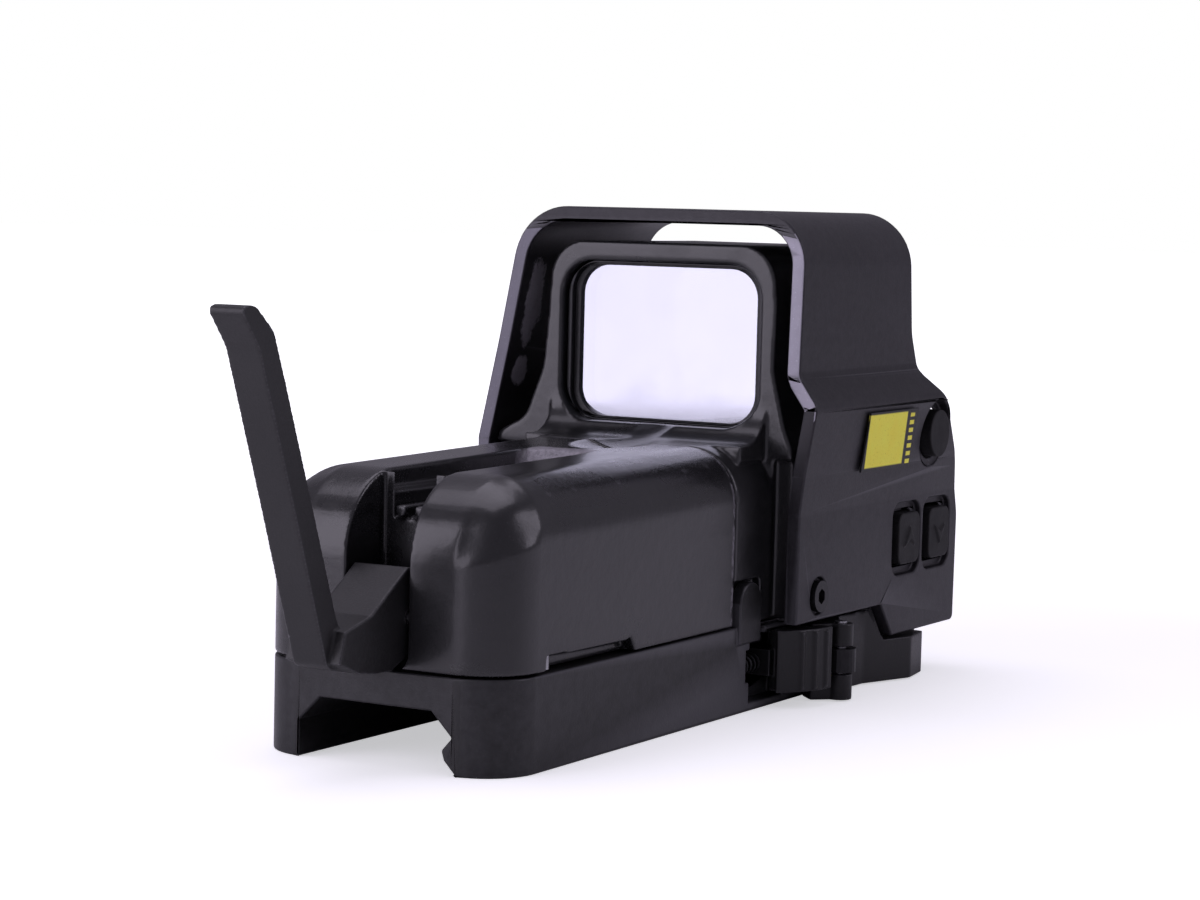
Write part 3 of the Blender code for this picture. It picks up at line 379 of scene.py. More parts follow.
def wrap_material(name):
    """A plain two-tone cell wrap: dark body, copper-coloured end band, with print grain."""
    g = Graph(name)
    along = g.node("SeparateXYZ", {0: g.place}).outputs["Y"]
    band = g.ramp(along, -0.0245, -0.0243)
    base = g.mix(band, (0.02, 0.022, 0.03), (0.45, 0.2, 0.08))
    base = g.mix(g.ramp(g.noise(0.4), 0.5, 0.8, 0.0, 0.25), base, (0.2, 0.2, 0.2))
    g.bump([(g.noise(0.8), 0.01)])
    return g.finish(Base_Color=base, Roughness=g.ramp(g.noise(2.0), 0.3, 0.7, 0.25, 0.4), Metallic=0.6)


def label_material(name):
    """A blank yellow field and a column of bars on a black plate, with a lean to suit the plate's tilt."""
    g = Graph(name)
    fine = g.noise(0.35, 3.0)
    yellow = g.mix(g.ramp(g.noise(3.0, 4.0), 0.3, 0.7), (1.0, 0.9, 0.055), (1.0, 0.96, 0.08))
    yellow = g.mix(g.ramp(fine, 0.6, 0.8, 0.0, 0.5), yellow, (0.25, 0.19, 0.01))
    parts = g.node("SeparateXYZ", {0: g.place}).outputs
    leaned = g.math("ADD", parts["Y"], g.math("MULTIPLY", parts["Z"], LABEL_LEAN))
    field = g.band(leaned, 0.0263, 0.0404)
    field = g.math("MULTIPLY", field, g.band(parts["Z"], 0.0268, 0.0353))
    column = g.band(leaned, 0.0414, 0.0432)
    ticks = g.math("GREATER_THAN", g.math("FRACT", g.math("MULTIPLY", parts["Z"], 800.0)), 0.45)
    bars = g.math("MULTIPLY", g.math("MULTIPLY", column, ticks), g.ramp(parts["Z"], 0.0350, 0.0348))
    base = g.mix(g.math("MAXIMUM", field, bars), (0.008, 0.008, 0.0085), yellow)
    g.bump([(fine, 0.015)])
    return g.finish(Base_Color=base, Roughness=g.ramp(fine, 0.3, 0.7, 0.4, 0.55))


# ---------------------------------------------------------------- shape helpers (millimetres)

SAME_POINT = 0.001
RELAX_FACTOR = 0.5
BEVEL_ANGLE = 40
SHARP_ANGLE = 60


def arc(centre_u, centre_v, radius, start, end, steps):
    """Points on an arc between two angles in degrees."""
    angles = [math.radians(start + (end - start) * i / steps) for i in range(steps + 1)]
    return [(centre_u + radius * math.cos(a), centre_v + radius * math.sin(a)) for a in angles]


def rounded(corners, steps=12, closed=True):
    """An outline through (u, v, radius) corners, each rounded by an arc of its radius."""
    outline = []
    count = len(corners)
    for i, (u, v, radius) in enumerate(corners):
        if radius == 0 or (not closed and i in (0, count - 1)):
            outline.append((u, v))
            continue
        here = Vector((u, v))
        before = (Vector(corners[i - 1][:2]) - here).normalized()
        after = (Vector(corners[(i + 1) % count][:2]) - here).normalized()
        half = before.angle(after) / 2
        reach = radius / math.tan(half)
        centre = here + (before + after).normalized() * radius / math.sin(half)
        first = here + before * reach - centre
        last = here + after * reach - centre
        turn = first.angle_signed(last)
        for step in range(steps + 1):
            outline.append(tuple(centre + Matrix.Rotation(-turn * step / steps, 2) @ first))
    return outline


def rounded_rect(low_u, high_u, low_v, high_v, radius, steps=12):
    corners = [(low_u, low_v), (high_u, low_v), (high_u, high_v), (low_u, high_v)]
    return rounded([(u, v, radius) for u, v in corners], steps)


def offset_path(path, distance):
    """An open path moved sideways, to the right of its direction."""
    moved = []
    for i, point in enumerate(path):
        here = Vector(point)
        ahead = (Vector(path[min(i + 1, len(path) - 1)]) - here).normalized()
        behind = (here - Vector(path[max(i - 1, 0)])).normalized()
        direction = (ahead + behind).normalized()
        stretch = max(0.5, direction.dot(ahead if ahead.length else behind))
        moved.append(tuple(here + Vector((direction.y, -direction.x)) * distance / stretch))
    return moved


def new_object(name, bm):
    """An object from a bmesh in millimetres."""
    bmesh.ops.scale(bm, vec=(MM, MM, MM), verts=bm.verts)
    bmesh.ops.recalc_face_normals(bm, faces=bm.faces)
    mesh = bpy.data.meshes.new(name)
    bm.to_mesh(mesh)
    bm.free()
    made = bpy.data.objects.new(name, mesh)
    bpy.context.scene.collection.objects.link(made)
    return made


def cylinder(name, start, end, radius, sides):
    start, end = Vector(start), Vector(end)
    bm = bmesh.new()
    depth = (end - start).length
    bmesh.ops.create_cone(bm, cap_ends=True, segments=sides, radius1=radius, radius2=radius, depth=depth)
    turn = (end - start).to_track_quat("Z", "Y").to_matrix().to_4x4()
    bmesh.ops.transform(bm, matrix=Matrix.Translation((start + end) / 2) @ turn, verts=bm.verts)
    return new_object(name, bm)


def box_bmesh(low, high):
    bm = bmesh.new()
    bmesh.ops.create_cube(bm, size=1.0)
    bmesh.ops.scale(bm, vec=[b - a for a, b in zip(low, high)], verts=bm.verts)
    bmesh.ops.translate(bm, vec=[(a + b) / 2 for a, b in zip(low, high)], verts=bm.verts)
    return bm


def box(name, low, high):
    return new_object(name, box_bmesh(low, high))


def ellipsoid(name, centre, radii):
    bm = bmesh.new()
    bmesh.ops.create_uvsphere(bm, u_segments=64, v_segments=40, radius=1.0)
    bmesh.ops.scale(bm, vec=radii, verts=bm.verts)
    bmesh.ops.translate(bm, vec=centre, verts=bm.verts)
    return new_object(name, bm)


# How an outline's u, v and thickness lie when it is extruded along an axis.
OUTLINE_FRAMES = {
    "X": Matrix(((0, 0, 1), (1, 0, 0), (0, 1, 0))),
    "Y": Matrix(((1, 0, 0), (0, 0, -1), (0, 1, 0))),
    "Z": Matrix(((1, 0, 0), (0, 1, 0), (0, 0, 1))),
}
AXES = {"X": Vector((1, 0, 0)), "Y": Vector((0, 1, 0)), "Z": Vector((0, 0, 1))}


def evaluated_mesh(obj):
    bpy.context.view_layer.update()
    graph = bpy.context.evaluated_depsgraph_get()
    return bpy.data.meshes.new_from_object(obj.evaluated_get(graph))


def apply_modifiers(obj):
    mesh, old = evaluated_mesh(obj), obj.data
    obj.modifiers.clear()
    obj.data = mesh
    if old.users == 0:
        bpy.data.meshes.remove(old)


def plate(name, loops, axis, low, high):
    """Closed outlines (the first is the outside, others are holes) extruded along an axis."""
    if isinstance(loops[0], tuple):
        loops = [loops]
    curve = bpy.data.curves.new(name, "CURVE")
    curve.dimensions = "2D"
    curve.fill_mode = "BOTH"
    curve.extrude = (high - low) / 2 * MM
    for loop in loops:
        spline = curve.splines.new("POLY")
        spline.points.add(len(loop) - 1)
        for point, (u, v) in zip(spline.points, loop):
            point.co = (u * MM, v * MM, 0, 1)
        spline.use_cyclic_u = True
    outline = bpy.data.objects.new(name + "_outline", curve)
    outline.matrix_world = Matrix.Translation(AXES[axis] * (low + high) / 2 * MM) @ OUTLINE_FRAMES[axis].to_4x4()
    bpy.context.scene.collection.objects.link(outline)
    mesh = evaluated_mesh(outline)
    mesh.transform(outline.matrix_world)
    bpy.data.objects.remove(outline, do_unlink=True)
    bpy.data.curves.remove(curve)
    bm = bmesh.new()
    bm.from_mesh(mesh)
    bmesh.ops.remove_doubles(bm, verts=bm.verts, dist=SAME_POINT * MM)
    bmesh.ops.recalc_face_normals(bm, faces=bm.faces)
    bm.to_mesh(mesh)
    bm.free()
    made = bpy.data.objects.new(name, mesh)
    bpy.context.scene.collection.objects.link(made)
    return made


def combine(target, operation, tools):
    """Applies one Boolean for each tool, then deletes the tools."""
    for tool in tools:
        modifier = target.modifiers.new(tool.name, "BOOLEAN")
        modifier.operation = operation
        modifier.solver = "EXACT"
        modifier.object = tool
    apply_modifiers(target)
    for tool in tools:
        mesh = tool.data
        bpy.data.objects.remove(tool, do_unlink=True)
        bpy.data.meshes.remove(mesh)


def cut(target, *tools):
    combine(target, "DIFFERENCE", tools)


def join(target, *tools):
    combine(target, "UNION", tools)


def keep_inside(target, tool):
    combine(target, "INTERSECT", [tool])


def soften(obj, voxel, rounds):
    """Remeshes at voxel millimetres and relaxes, which rounds every edge as moulding or paint does."""
    remesh = obj.modifiers.new("remesh", "REMESH")
    remesh.mode = "VOXEL"
    remesh.voxel_size = voxel * MM
    smooth = obj.modifiers.new("relax", "SMOOTH")
    smooth.factor = RELAX_FACTOR
    smooth.iterations = rounds
    apply_modifiers(obj)


def bevel(obj, width, segments):
    modifier = obj.modifiers.new("bevel", "BEVEL")
    modifier.width = width * MM
    modifier.segments = segments
    modifier.limit_method = "ANGLE"
    modifier.angle_limit = math.radians(BEVEL_ANGLE)
    modifier.use_clamp_overlap = False
    apply_modifiers(obj)


def dress(obj, material, body, replaces, crisp=False):
    """Gives a piece its smooth shading, material and body, and hides the CAD nodes that it stands for.

    A crisp piece keeps its large faces flat up to their bevels.
    """
    obj.data.materials.clear()
    obj.data.materials.append(material)
    obj.data.shade_smooth()
    obj.data.set_sharp_from_angle(angle=math.radians(SHARP_ANGLE))
    if crisp:
        flatter = obj.modifiers.new("flat_faces", "WEIGHTED_NORMAL")
        flatter.keep_sharp = True
        flatter.weight = 80
    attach(obj, body)
    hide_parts(*replaces)


# ---------------------------------------------------------------- the sight's shapes

# Centre and radii of the finger scoop before the window.
SCOOP = ((0.5, -9.0, 37.0), (9.5, 17.0, 7.2))
HALF_WIDTH = 20.1
FRONT_Y = -70.0
BASE_REAR_Y = 62
FOOT_Z = -8.3
BASE_TOP_Z = 4.7
BASE_SCREWS = ((-6, -3), (6, -3), (-6, 57.7), (6, 57.7))
BODY_BOTTOM_Z = 5.0
CAP_REAR_Y = -6.3
DECK_Z = 31.2
# The slot in the cap that the battery lever folds into, and the two ribs on its floor.
SLOT_HALF = 5.0
SLOT_FRONT_Y = -61.2
SLOT_LEDGE_Z = 27.4
SLOT_FLOOR_Z = 23.8
RIB_TOP_Z = 25.7
RIB_ROOT_Z = 24.0
LANE_FRONT_Y = -62.3
ABOVE_CAP_Z = 36
PIVOT_Y, PIVOT_Z = -68.2, 11.8
PIN_X, PIN_Y = 26.3, 17.8
CLAMP_TOP_Z = 3.6
CLAMP_BOTTOM_Z = -8.1
LOCK_BOTTOM_Z = -5.8
HOUSING_LEFT_X, HOUSING_RIGHT_X = 23.1, -28.5
HOOD_LEFT_X, HOOD_RIGHT_X = 25.6, -31.0
HOOD_WALL = 2.2
HOOD_FRONT_Y, HOOD_REAR_Y = 3.8, 63.6
# Painted light on the hood's front end faces, a lighter colour standing in for the light that falls on them: it
# ends below this height, and on the left it starts above the other.
PAINTED_LIGHT_TOP_Z, PAINTED_LIGHT_LEFT_Z = 62.5, 34.5
# Places on the side walls, as y and z.
HOOD_SCREW = (11.2, 8.3)
ADJUSTERS = ((22.0, 17), (36.0, 17))
UP_KEY, DOWN_KEY = (43.1, 14.5), (54.9, 14.5)
NIGHT_KEY = (50, 31)
# Half width, lowest z, highest z and corner radius of the window's mouths and of its clear tunnel.
MOUTH = (17.2, 33.2, 57.9, 5.5)
CLEAR = (14.3, 34.2, 56.6, 4.5)
FRONT_FACE_Y, REAR_FACE_Y = 5.5, 42.0


def window_outline(spec, inset=0.0):
    half, low, high, radius = spec
    return rounded_rect(-half + inset, half - inset, low + inset, high - inset, max(0.5, radius - inset))


def make_base(material):
    front = [(-HALF_WIDTH, FRONT_Y, 8), (HALF_WIDTH, FRONT_Y, 8)]
    rear = [(HALF_WIDTH, BASE_REAR_Y, 2.5), (-HALF_WIDTH, BASE_REAR_Y, 2.5)]
    outline = rounded(front + rear, steps=20)
    base = plate("base_body", outline, "Z", FOOT_Z, BASE_TOP_Z)
    below = FOOT_Z - 1
    groove = rounded(
        [(-8.8, 0, 0.3), (-12.05, -3.25, 0.3), (-12.05, below, 0), (12.9, below, 0), (12.45, -7.9, 0)]
        + [(10.9, -6.3, 0.5), (10.5, -5.0, 0.5), (12.05, -3.25, 0.3), (8.8, 0, 0.3)],
        steps=4,
    )
    cut(
        base,
        plate("t_groove", groove, "Y", -71, 63),
        box("t_pocket", (-21, 1.8, below), (-9.5, 34.2, 0.4)),
        box("t_relief", (-9.7, PIN_Y - 2.2, -1.0), (10.0, PIN_Y + 2.2, 0.4)),
    )
    bolt_hole = cylinder("t_bolt", (8, PIN_Y, -2), (22, PIN_Y, -2), 1.8, 64)
    cut(base, bolt_hole, box("t_lock", (16, -1.5, -3.9), (21, 10.4, 0.9)))
    for x, y in BASE_SCREWS:
        hole = cylinder("t_hole", (x, y, -1), (x, y, 6), 1.5, 32)
        cut(base, hole, cylinder("t_head", (x, y, -1), (x, y, 2.3), 2.6, 32))
    cut(base, box("t_behind_lock", (17.5, -0.4, -7.0), (21, 10.6, 3.2)))
    lug = rounded([(-4.9, 2.2, 0), (1.9, 2.2, 0), (1.9, 11.2, 3.2), (-4.9, 11.2, 3.2)])
    join(base, plate("t_lug", lug, "X", 18.9, 20.7))
    ledge = rounded([(2.2, 3.4, 0.3), (9.0, 3.4, 0.3), (9.0, 4.4, 0.3), (2.2, 4.4, 0.3)], steps=3)
    join(base, plate("t_ledge", ledge, "X", 19.5, 21.3))
    bevel(base, 0.3, 3)
    dress(base, material, "root", ["mount_base"], crisp=True)


def pillow_box(name, low, high, corner, front, drop):
    """A block with rounded edges: radius front where top and front meet, and radius corner at its sides.

    Its top front edge is lowered by drop first.
    """
    bm = box_bmesh(low, high)
    weights = bm.edges.layers.float.new("bevel_weight_edge")
    for vert in bm.verts:
        if vert.co.z > high[2] - 1 and vert.co.y < low[1] + 1:
            vert.co.z -= drop
    for edge in bm.edges:
        a, b = (vert.co for vert in edge.verts)
        on_top = min(a.z, b.z) > high[2] - 2
        at_front = max(a.y, b.y) < low[1] + 1
        if on_top and at_front:
            edge[weights] = 1.0
        elif (on_top and abs(a.x - b.x) < 1) or (at_front and abs(a.z - b.z) > 5):
            edge[weights] = corner / front
    made = new_object(name, bm)
    modifier = made.modifiers.new("edges", "BEVEL")
    modifier.limit_method = "WEIGHT"
    modifier.width = front * MM
    modifier.segments = 14
    apply_modifiers(made)
    return made


def make_cap(material):
    low, high = (-HALF_WIDTH, FRONT_Y, BODY_BOTTOM_Z), (HALF_WIDTH, CAP_REAR_Y, DECK_Z)
    cap = pillow_box("cap_shell", low, high, 8.0, 11.0, 1.0)
    slot = rounded(
        [(SLOT_FRONT_Y, SLOT_LEDGE_Z, 0), (-27.0, SLOT_LEDGE_Z, 1), (-22.0, 33, 0), (-22.0, ABOVE_CAP_Z, 0)]
        + [(SLOT_FRONT_Y, ABOVE_CAP_Z, 0)],
        steps=6,
    )
    cut(cap, plate("t_slot", slot, "X", -SLOT_HALF, SLOT_HALF))
    # One wide lane down to the tops of the ribs, then a deep one on each side of each rib.
    deep_lanes = ((-3.3, -2.5), (-0.9, 0.5), (2.1, 3.3))
    lanes = [(-3.3, 3.3, RIB_TOP_Z)] + [(*ends, SLOT_FLOOR_Z) for ends in deep_lanes]
    for low_x, high_x, floor in lanes:
        rear_y = -31.0 + (floor - SLOT_FLOOR_Z) * 0.67
        lane = [(LANE_FRONT_Y, floor), (rear_y, floor), (-27.5, 29), (-27.5, 31), (LANE_FRONT_Y, 31)]
        cut(cap, plate("t_lane", lane, "X", low_x, high_x))
    floor_corners = [(-SLOT_HALF, 4.3, 3.0), (SLOT_HALF, 4.3, 3.0)]
    recess = rounded(floor_corners + [(SLOT_HALF, ABOVE_CAP_Z, 0), (-SLOT_HALF, ABOVE_CAP_Z, 0)])
    between = rounded(
        floor_corners
        + [(SLOT_HALF, ABOVE_CAP_Z, 0), (2.1, ABOVE_CAP_Z, 0), (2.1, RIB_ROOT_Z, 0.7), (0.5, RIB_ROOT_Z, 0.7)]
        + [(0.5, ABOVE_CAP_Z, 0), (-0.9, ABOVE_CAP_Z, 0), (-0.9, RIB_ROOT_Z, 0.7), (-2.5, RIB_ROOT_Z, 0.7)]
        + [(-2.5, ABOVE_CAP_Z, 0), (-SLOT_HALF, ABOVE_CAP_Z, 0)],
    )
    cut(cap, plate("t_recess", recess, "Y", -71, -62.1), plate("t_between", between, "Y", -62.2, SLOT_FRONT_Y))
    cut(cap, cylinder("t_pin", (-9, PIVOT_Y, PIVOT_Z), (9, PIVOT_Y, PIVOT_Z), 1.15, 32))
    bay = rounded_rect(-15.75, 15.75, 6.7, 21.6, 7.4)
    notch = [(-59.6, 3, 0), (-59.6, 7.0, 0.4), (-38.0, 6.6, 0.4), (-37.0, 7.2, 0.3), (-34.4, 3, 0)]
    cut(cap, plate("t_bay", bay, "Y", -59.9, -5), plate("t_notch", rounded(notch, steps=4), "X", 18.2, 21))
    cut(cap, ellipsoid("t_scoop", *SCOOP))
    soften(cap, 0.3, 7)
    dress(cap, material, "cap", ["battery_cap"])


def make_battery_lever(material):
    arm = rounded(
        [(-84.6, 6.4, 2.0), (-79.0, 6.4, 2.0), (-82.8, 13.0, 1.0), (-88.8, 28.6, 0), (-94.6, 43.6, 0)]
        + [(-97.2, 50.0, 3.0), (-101.0, 53.2, 2.0), (-104.4, 53.2, 0.8), (-100.2, 48.0, 6.0), (-91.8, 26.0, 0)]
    )
    lever = plate("lever_arm", arm, "X", -2.6, 2.6)
    foot = [
        (-84.4, 7.4), (-80.0, 5.7), (-76.5, 5.2), (-72.5, 5.1), (-70.6, 5.9),
        *arc(PIVOT_Y, PIVOT_Z, 4.9, 275, 400, 30),
        (-67.2, 18.2), (-69.0, 18.4), (-77.4, 12.9), (-83.2, 11.4),
    ]
    join(lever, plate("t_foot", foot, "X", -4.3, 4.3))
    cut(lever, cylinder("t_bore", (-6, PIVOT_Y, PIVOT_Z), (6, PIVOT_Y, PIVOT_Z), 1.1, 32))
    soften(lever, 0.2, 4)
    dress(lever, material, "cap_lever", ["battery_lever"])


def make_housing(material):
    low_corners = [(-HALF_WIDTH, 5, 0), (HALF_WIDTH, 5, 0)]
    shoulder = rounded(low_corners + [(HALF_WIDTH, DECK_Z, 8), (-HALF_WIDTH, DECK_Z, 8)], steps=16)
    housing = plate("housing_shell", shoulder, "Y", -6.0, 7.4)
    left, right = HOUSING_LEFT_X, HOUSING_RIGHT_X
    block = rounded(
        [(right, 5, 0), (left, 5, 0), (left, 30.6, 1.5), (21.8, 33.6, 4.0)]
        + [(19.7, 42.0, 8.0), (19.9, 52.0, 12), (19.1, 60.8, 6.0)]
        + [(-19.1, 60.8, 6.0), (-19.7, 50.0, 12), (-20.5, 41.0, 8.0), (-23.6, 33.0, 4.0), (right, 30.6, 1.5)],
        steps=10,
    )
    wide = plate("t_wide", block, "Y", 5.5, 60.5)
    side = rounded(
        [(4.5, 0, 0), (4.5, 70, 0), (42, 70, 0), (42, 45, 3), (46.5, 38, 4)]
        + [(54, 30.5, 4), (59, 25, 4), (61.5, 19, 0), (61.5, 0, 0)],
        steps=6,
    )
    keep_inside(wide, plate("t_side", side, "X", -40, 40))
    low_left = box("t_low_l", (HALF_WIDTH, 0, 0), (40, 6.4, 29))
    cut(wide, low_left, box("t_low_r", (-40, 0, 0), (-HALF_WIDTH, 6.4, 29)))
    sill = [(-2.5, 29.0), (-2.5, DECK_Z), *arc(-0.6, 37.3, 6.1, -90, 0, 14), (6.5, 37.3), (6.5, 29)]
    sill_plate = plate("t_sill", sill, "X", -18.6, 18.6)
    join(housing, wide)
    join(housing, sill_plate)
    mouth, clear = window_outline(MOUTH), window_outline(CLEAR)
    cut(housing, plate("t_mouth", mouth, "Y", 3.5, 14.1), plate("t_rear_mouth", mouth, "Y", 33.4, 54))
    cut(housing, plate("t_tunnel", clear, "Y", 12, 37))
    cut(housing, box("t_port", (-4.6, 26.0, 26), (4.6, 32.5, 35)))
    cut(housing, box("t_bay", (-16, 0.5, 3), (16, 55, 26)))
    for y, z in ADJUSTERS:
        cut(housing, cylinder("t_adjust", (-30, y, z), (-15, y, z), 1.8, 32))
    cut(housing, box("t_lug_room", (18.6, -7, 3), (22, 2.3, 11.6)))
    for y, z in (UP_KEY, DOWN_KEY):
        pocket = rounded_rect(y - 5.4, y + 5.4, z - 5.5, z + 5.5, 1.5, 4)
        cut(housing, plate("t_pocket", pocket, "X", 19.4, 25))
    cut(housing, cylinder("t_night", (21.4, *NIGHT_KEY), (25, *NIGHT_KEY), 5.0, 40))
    cut(housing, ellipsoid("t_scoop", *SCOOP))
    for sign, wall in ((1, left), (-1, right)):
        outer, inner = (wall + sign, *HOOD_SCREW), (wall - sign * 6.5, *HOOD_SCREW)
        cut(housing, cylinder("t_thread", outer, inner, 1.3, 24))
    soften(housing, 0.3, 7)
    dress(housing, material, "root", ["main_housing"])


def make_hood(material, edge_painted_light_material, front_painted_light_material):
    path = rounded(
        [(HOOD_RIGHT_X, -3.0, 0), (HOOD_RIGHT_X, 29.5, 4.0), (-27.6, 45.0, 20.0), (-23.5, 66.0, 9.5)]
        + [(25.4, 66.0, 8.0), (24.9, 41.6, 2.5), (28.0, 37.2, 2.4), (26.2, 26.6, 4.0)]
        + [(HOOD_LEFT_X, 21.0, 4.0), (HOOD_LEFT_X, -3.0, 0)],
        steps=14,
        closed=False,
    )
    hood = plate("hood_shell", path + offset_path(path, HOOD_WALL)[::-1], "Y", HOOD_FRONT_Y, HOOD_REAR_Y)
    side = rounded(
        [(2.8, 4.6, 0), (2.8, 70, 0), (40.6, 70, 0), (42.6, 58.0, 6.0)]
        + [(44.2, 47.0, 8.0), (47.4, 40.6, 4.0), (53.0, 36.2, 5.0), (60.6, 27.0, 9.0)]
        + [(63.4, 17.0, 8.0), (63.1, -0.8, 1.0), (38.7, -0.8, 0.4), (34.1, 4.6, 0.6)],
        steps=10,
    )
    keep_inside(hood, plate("t_hood_side", side, "X", -40, 40))
    for sign, wall in ((1, HOOD_LEFT_X), (-1, HOOD_RIGHT_X)):
        inside, outside, seat = wall - sign * 4, wall + sign * 2, wall - sign * 0.9
        cut(hood, cylinder("t_screw", (inside, *HOOD_SCREW), (outside, *HOOD_SCREW), 1.4, 32))
        cut(hood, cylinder("t_seat", (seat, *HOOD_SCREW), (outside, *HOOD_SCREW), 2.9, 48))
    for y, z in (UP_KEY, DOWN_KEY):
        cut(hood, plate("t_recess", rounded_rect(y - 5.35, y + 5.35, z - 5.8, z + 5.8, 2.4), "X", 24.5, 30))
        cut(hood, plate("t_hole", rounded_rect(y - 4.3, y + 4.3, z - 4.4, z + 4.4, 1.8), "X", 22, 30))
    cut(hood, cylinder("t_night_recess", (25.9, *NIGHT_KEY), (30, *NIGHT_KEY), 5.4, 64))
    cut(hood, cylinder("t_night_hole", (22, *NIGHT_KEY), (30, *NIGHT_KEY), 4.1, 64))
    for y, z in ADJUSTERS:
        cut(hood, cylinder("t_access", (-33, y, z), (-27, y, z), 3.6, 48))
    bevel(hood, 0.32, 3)
    dress(hood, material, "root", ["hood"], crisp=True)
    hood.data.materials.append(edge_painted_light_material)
    hood.data.materials.append(front_painted_light_material)
    # Painted light: the front end faces of the legs take the lighter painted-light materials, slot 1 on the right
    # leg and slot 2 on the left.
    for face in hood.data.polygons:
        x, y, z = face.center / MM
        at_front = y < HOOD_FRONT_Y + 0.04 and face.normal.y < -0.3
        if at_front and z < PAINTED_LIGHT_TOP_Z and (x < 0 or z > PAINTED_LIGHT_LEFT_Z):
            face.material_index = 1 if x < 0 else 2


def make_bezel(name, face_y, direction, material, node):
    """The stepped frame that holds a pane in its mouth. direction is 1 at the front and -1 at the rear."""
    half, low, high, radius = CLEAR
    steps = ((2.7, 5.2, 1.0), (1.5, 2.9, 1.9))
    bezel = None
    for near, far, grow in steps:
        opening = window_outline((half + grow, low - grow * 0.5, high + grow * 0.5, radius))
        ends = sorted((face_y + direction * near, face_y + direction * far))
        ring = plate(name if bezel is None else "t_ring", [window_outline(MOUTH, 0.25), opening], "Y", *ends)
        if bezel is None:
            bezel = ring
        else:
            join(bezel, ring)
    bevel(bezel, 0.15, 2)
    dress(bezel, material, "root", [node], crisp=True)


def make_pane(name, face_y, direction, material, node):
    """A pane seated in its frame, with a ground edge."""
    ends = sorted((face_y + direction * 3.3, face_y + direction * 5.2))
    half, low, high, radius = CLEAR
    outline = window_outline((half + 1.2, low - 0.7, high + 0.7, radius))
    pane = plate(name, outline, "Y", *ends)
    bevel(pane, 0.12, 2)
    dress(pane, material, "root", [node], crisp=True)


def make_qd_lever(material):
    outline = [
        *arc(PIN_X, PIN_Y, 2.0, 70, -105, 24),
        *arc(PIN_X, PIN_Y, 5.0, 236, 222, 4),
        *arc(PIN_X, PIN_Y, 5.6, 196, 184, 4),
        *rounded(
            [(20.6, 18.6, 0), (20.6, 45.5, 2.0), (23.4, 51.0, 1.0), (25.6, 51.0, 0.8), (26.8, 43.6, 1.5)]
            + [(23.3, 33.0, 4.0), (23.0, 24.0, 2.0), (25.0, 20.6, 0)],
            closed=False,
        ),
    ]
    lever = plate("clamp_lever", outline, "Z", CLAMP_BOTTOM_Z, CLAMP_TOP_Z)
    tail = [(34.0, 5.0), (34.0, CLAMP_TOP_Z), (37.5, -1.4), (53.0, -1.4), (53.0, 5.0)]
    cut(lever, box("t_fork", (19, 10, -4.1), (30, PIN_Y + 3.4, 0.1)), plate("t_tail", tail, "X", 19, 30))
    cut(lever, cylinder("t_pin", (PIN_X, PIN_Y, -9), (PIN_X, PIN_Y, 5), 1.0, 32))
    soften(lever, 0.2, 3)
    dress(lever, material, "clamp_lever", ["qd_lever"])


def make_lock(material):
    body = rounded(
        [(20.6, 5.2, 0), (22.4, 5.2, 0), (22.4, 2.9, 0.3), (25.0, 6.4, 2.0), (26.7, 10.0, 4.0), (27.1, 13.7, 0.4)]
        + [(24.8, 13.7, 0), (24.3, 11.6, 0), (20.6, 11.6, 0)],
        steps=8,
    )
    lock = plate("lock_block", body, "Z", LOCK_BOTTOM_Z, CLAMP_TOP_Z)
    for x, y in ((25.0, 7.0), (26.05, 9.3), (26.75, 11.6)):
        join(lock, cylinder("t_rib", (x, y, -5.4), (x, y, 3.2), 0.6, 24))
    join(lock, box("t_tongue", (16.5, 4.0, -3.5), (21.2, 10.0, 0.5)))
    soften(lock, 0.16, 3)
    dress(lock, material, "lock", ["lever_lock"])


def make_buttons(material):
    for node, body, (y, z), up in (("up_button", "up", UP_KEY, 1), ("down_button", "down", DOWN_KEY, -1)):
        face = rounded_rect(y - 4.0, y + 4.0, z - 4.1, z + 4.1, 1.6)
        button = plate(node.replace("_button", "_key"), face, "X", 22.1, 26.1)
        join(button, plate("t_rim", rounded_rect(y - 5, y + 5, z - 5.1, z + 5.1, 1.2, 6), "X", 21.6, 22.6))
        chevron = [(y - 2.0, z - 1.2 * up), (y, z + 1.8 * up), (y + 2.0, z - 1.2 * up), (y, z - 0.2 * up)]
        join(button, plate("t_mark", chevron if up > 0 else chevron[::-1], "X", 25.6, 26.45))
        soften(button, 0.14, 3)
        dress(button, material, body, [node])
    night = cylinder("night_key", (23.0, *NIGHT_KEY), (27.9, *NIGHT_KEY), 3.8, 72)
    join(night, cylinder("t_rim", (22.6, *NIGHT_KEY), (23.5, *NIGHT_KEY), 4.6, 72))
    circles = [arc(*NIGHT_KEY, radius, 0, 354, 59) for radius in (2.9, 2.4)]
    cut(night, plate("t_ring", circles, "X", 27.4, 27.88))
    soften(night, 0.14, 3)
    dress(night, material, "night", ["night_button"])


def give(material, *nodes, bevel_mm=0.0):
    """Finishes CAD nodes that stay as they are, with a small edge break where bevel_mm is set."""
    for node in nodes:
        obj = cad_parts[node]
        for slot in obj.material_slots:
            slot.material = material
        if bevel_mm:
            modifier = obj.modifiers.new("edge_break", "BEVEL")
            modifier.width = bevel_mm * MM
            modifier.segments = 2
            modifier.limit_method = "ANGLE"
            modifier.angle_limit = math.radians(BEVEL_ANGLE)


make_camera()
make_world()
make_floor()
make_lights()

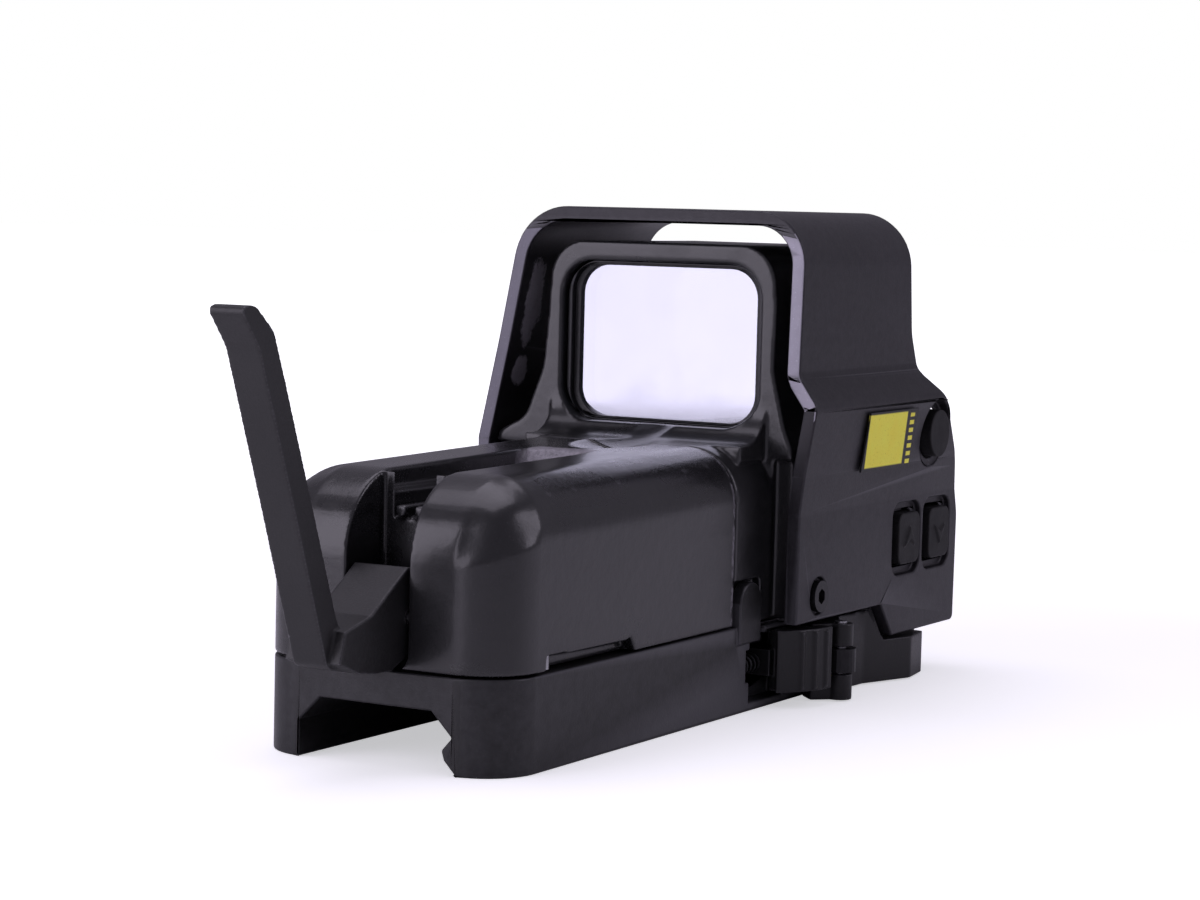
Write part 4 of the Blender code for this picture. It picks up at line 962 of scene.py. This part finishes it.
BLACK_BASE = anodised("base_black", (0.009, 0.009, 0.0095), (0.016, 0.016, 0.0165), rough=0.36, metallic=0.3)
HOOD_BLACK = anodised(
    "hood_black", (0.017, 0.016, 0.019), (0.026, 0.0245, 0.0285), rough=0.42, metallic=0.35, worn=hood_patch
)
# Painted light: two lighter copies of the hood's finish stand in for the light on its front end faces, lilac on
# the right leg and paler on the left.
HOOD_EDGE_PAINTED_LIGHT = anodised("hood_edge_painted_light", (0.12, 0.115, 0.14), (0.17, 0.165, 0.195), rough=0.45, metallic=0.35)
HOOD_FRONT_PAINTED_LIGHT = anodised("hood_front_painted_light", (0.3, 0.29, 0.34), (0.4, 0.385, 0.44), rough=0.45, metallic=0.35)
MOULDING = glossy_moulding("moulded_black", rough=0.27, worn=slot_patch)
HOUSING_FINISH = glossy_moulding("housing_black", rough=0.3)
LEVER_BLACK = anodised("lever_matte", (0.008, 0.008, 0.0085), (0.014, 0.014, 0.0145), rough=0.47, metallic=0.0)
BEZEL_BLACK = anodised("bezel_black", (0.006, 0.006, 0.007), (0.011, 0.011, 0.012), rough=0.4, metallic=0.2)
RUBBER_BLACK = rubber("key_rubber")
STEEL = metal("steel_bright", (0.52, 0.52, 0.54), 0.28)
BLACK_STEEL = metal("steel_black", (0.035, 0.035, 0.037), 0.34, metallic=0.8)
BRASS = metal("contact_brass", (0.72, 0.5, 0.2), 0.28)
GLASS = coated_glass("coated_glass", (0.72, 0.76, 1.0), 0.12)
FRONT_GLASS = coated_glass("front_coated_glass", (0.42, 0.435, 0.475), 0.85, metallic=1.0)
LABEL = label_material("label_yellow")

make_base(BLACK_BASE)
make_cap(MOULDING)
make_battery_lever(LEVER_BLACK)
make_housing(HOUSING_FINISH)
make_hood(HOOD_BLACK, HOOD_EDGE_PAINTED_LIGHT, HOOD_FRONT_PAINTED_LIGHT)
make_bezel("bezel_front", FRONT_FACE_Y, 1, BEZEL_BLACK, "front_bezel")
make_bezel("bezel_rear", REAR_FACE_Y, -1, BEZEL_BLACK, "rear_bezel")
make_pane("pane_front", FRONT_FACE_Y, 1, FRONT_GLASS, "front_glass")
make_pane("pane_rear", REAR_FACE_Y, -1, GLASS, "rear_glass")
make_qd_lever(BLACK_BASE)
make_lock(BLACK_BASE)
make_buttons(RUBBER_BLACK)

give(BLACK_STEEL, "hood_screw_left", "hood_screw_right", "windage_screw", "elevation_screw", bevel_mm=0.15)
give(BLACK_STEEL, "base_screw_1", "base_screw_2", "base_screw_3", "base_screw_4", "clamp_nut", bevel_mm=0.15)
give(BLACK_BASE, "clamp_jaw", bevel_mm=0.3)
give(BLACK_STEEL, "clamp_bolt", bevel_mm=0.2)
give(STEEL, "qd_pin", "lever_pin", "tether_pin", bevel_mm=0.15)
give(STEEL, "contact_spring_a", "contact_spring_b")
give(BLACK_STEEL, "lock_spring")
give(BRASS, "front_contact", "emitter_carriage", bevel_mm=0.1)
give(BEZEL_BLACK, "emitter_module", bevel_mm=0.15)
give(wrap_material("cell_wrap"), "battery_a", "battery_b", bevel_mm=0.3)
give(board_material("solder_mask"), "circuit_board", "contact_board")
give(RUBBER_BLACK, "cap_seal", "front_seal", "rear_seal", "up_membrane", "down_membrane")
give(GLASS, "emitter_lens")
give(LABEL, "label_plate")
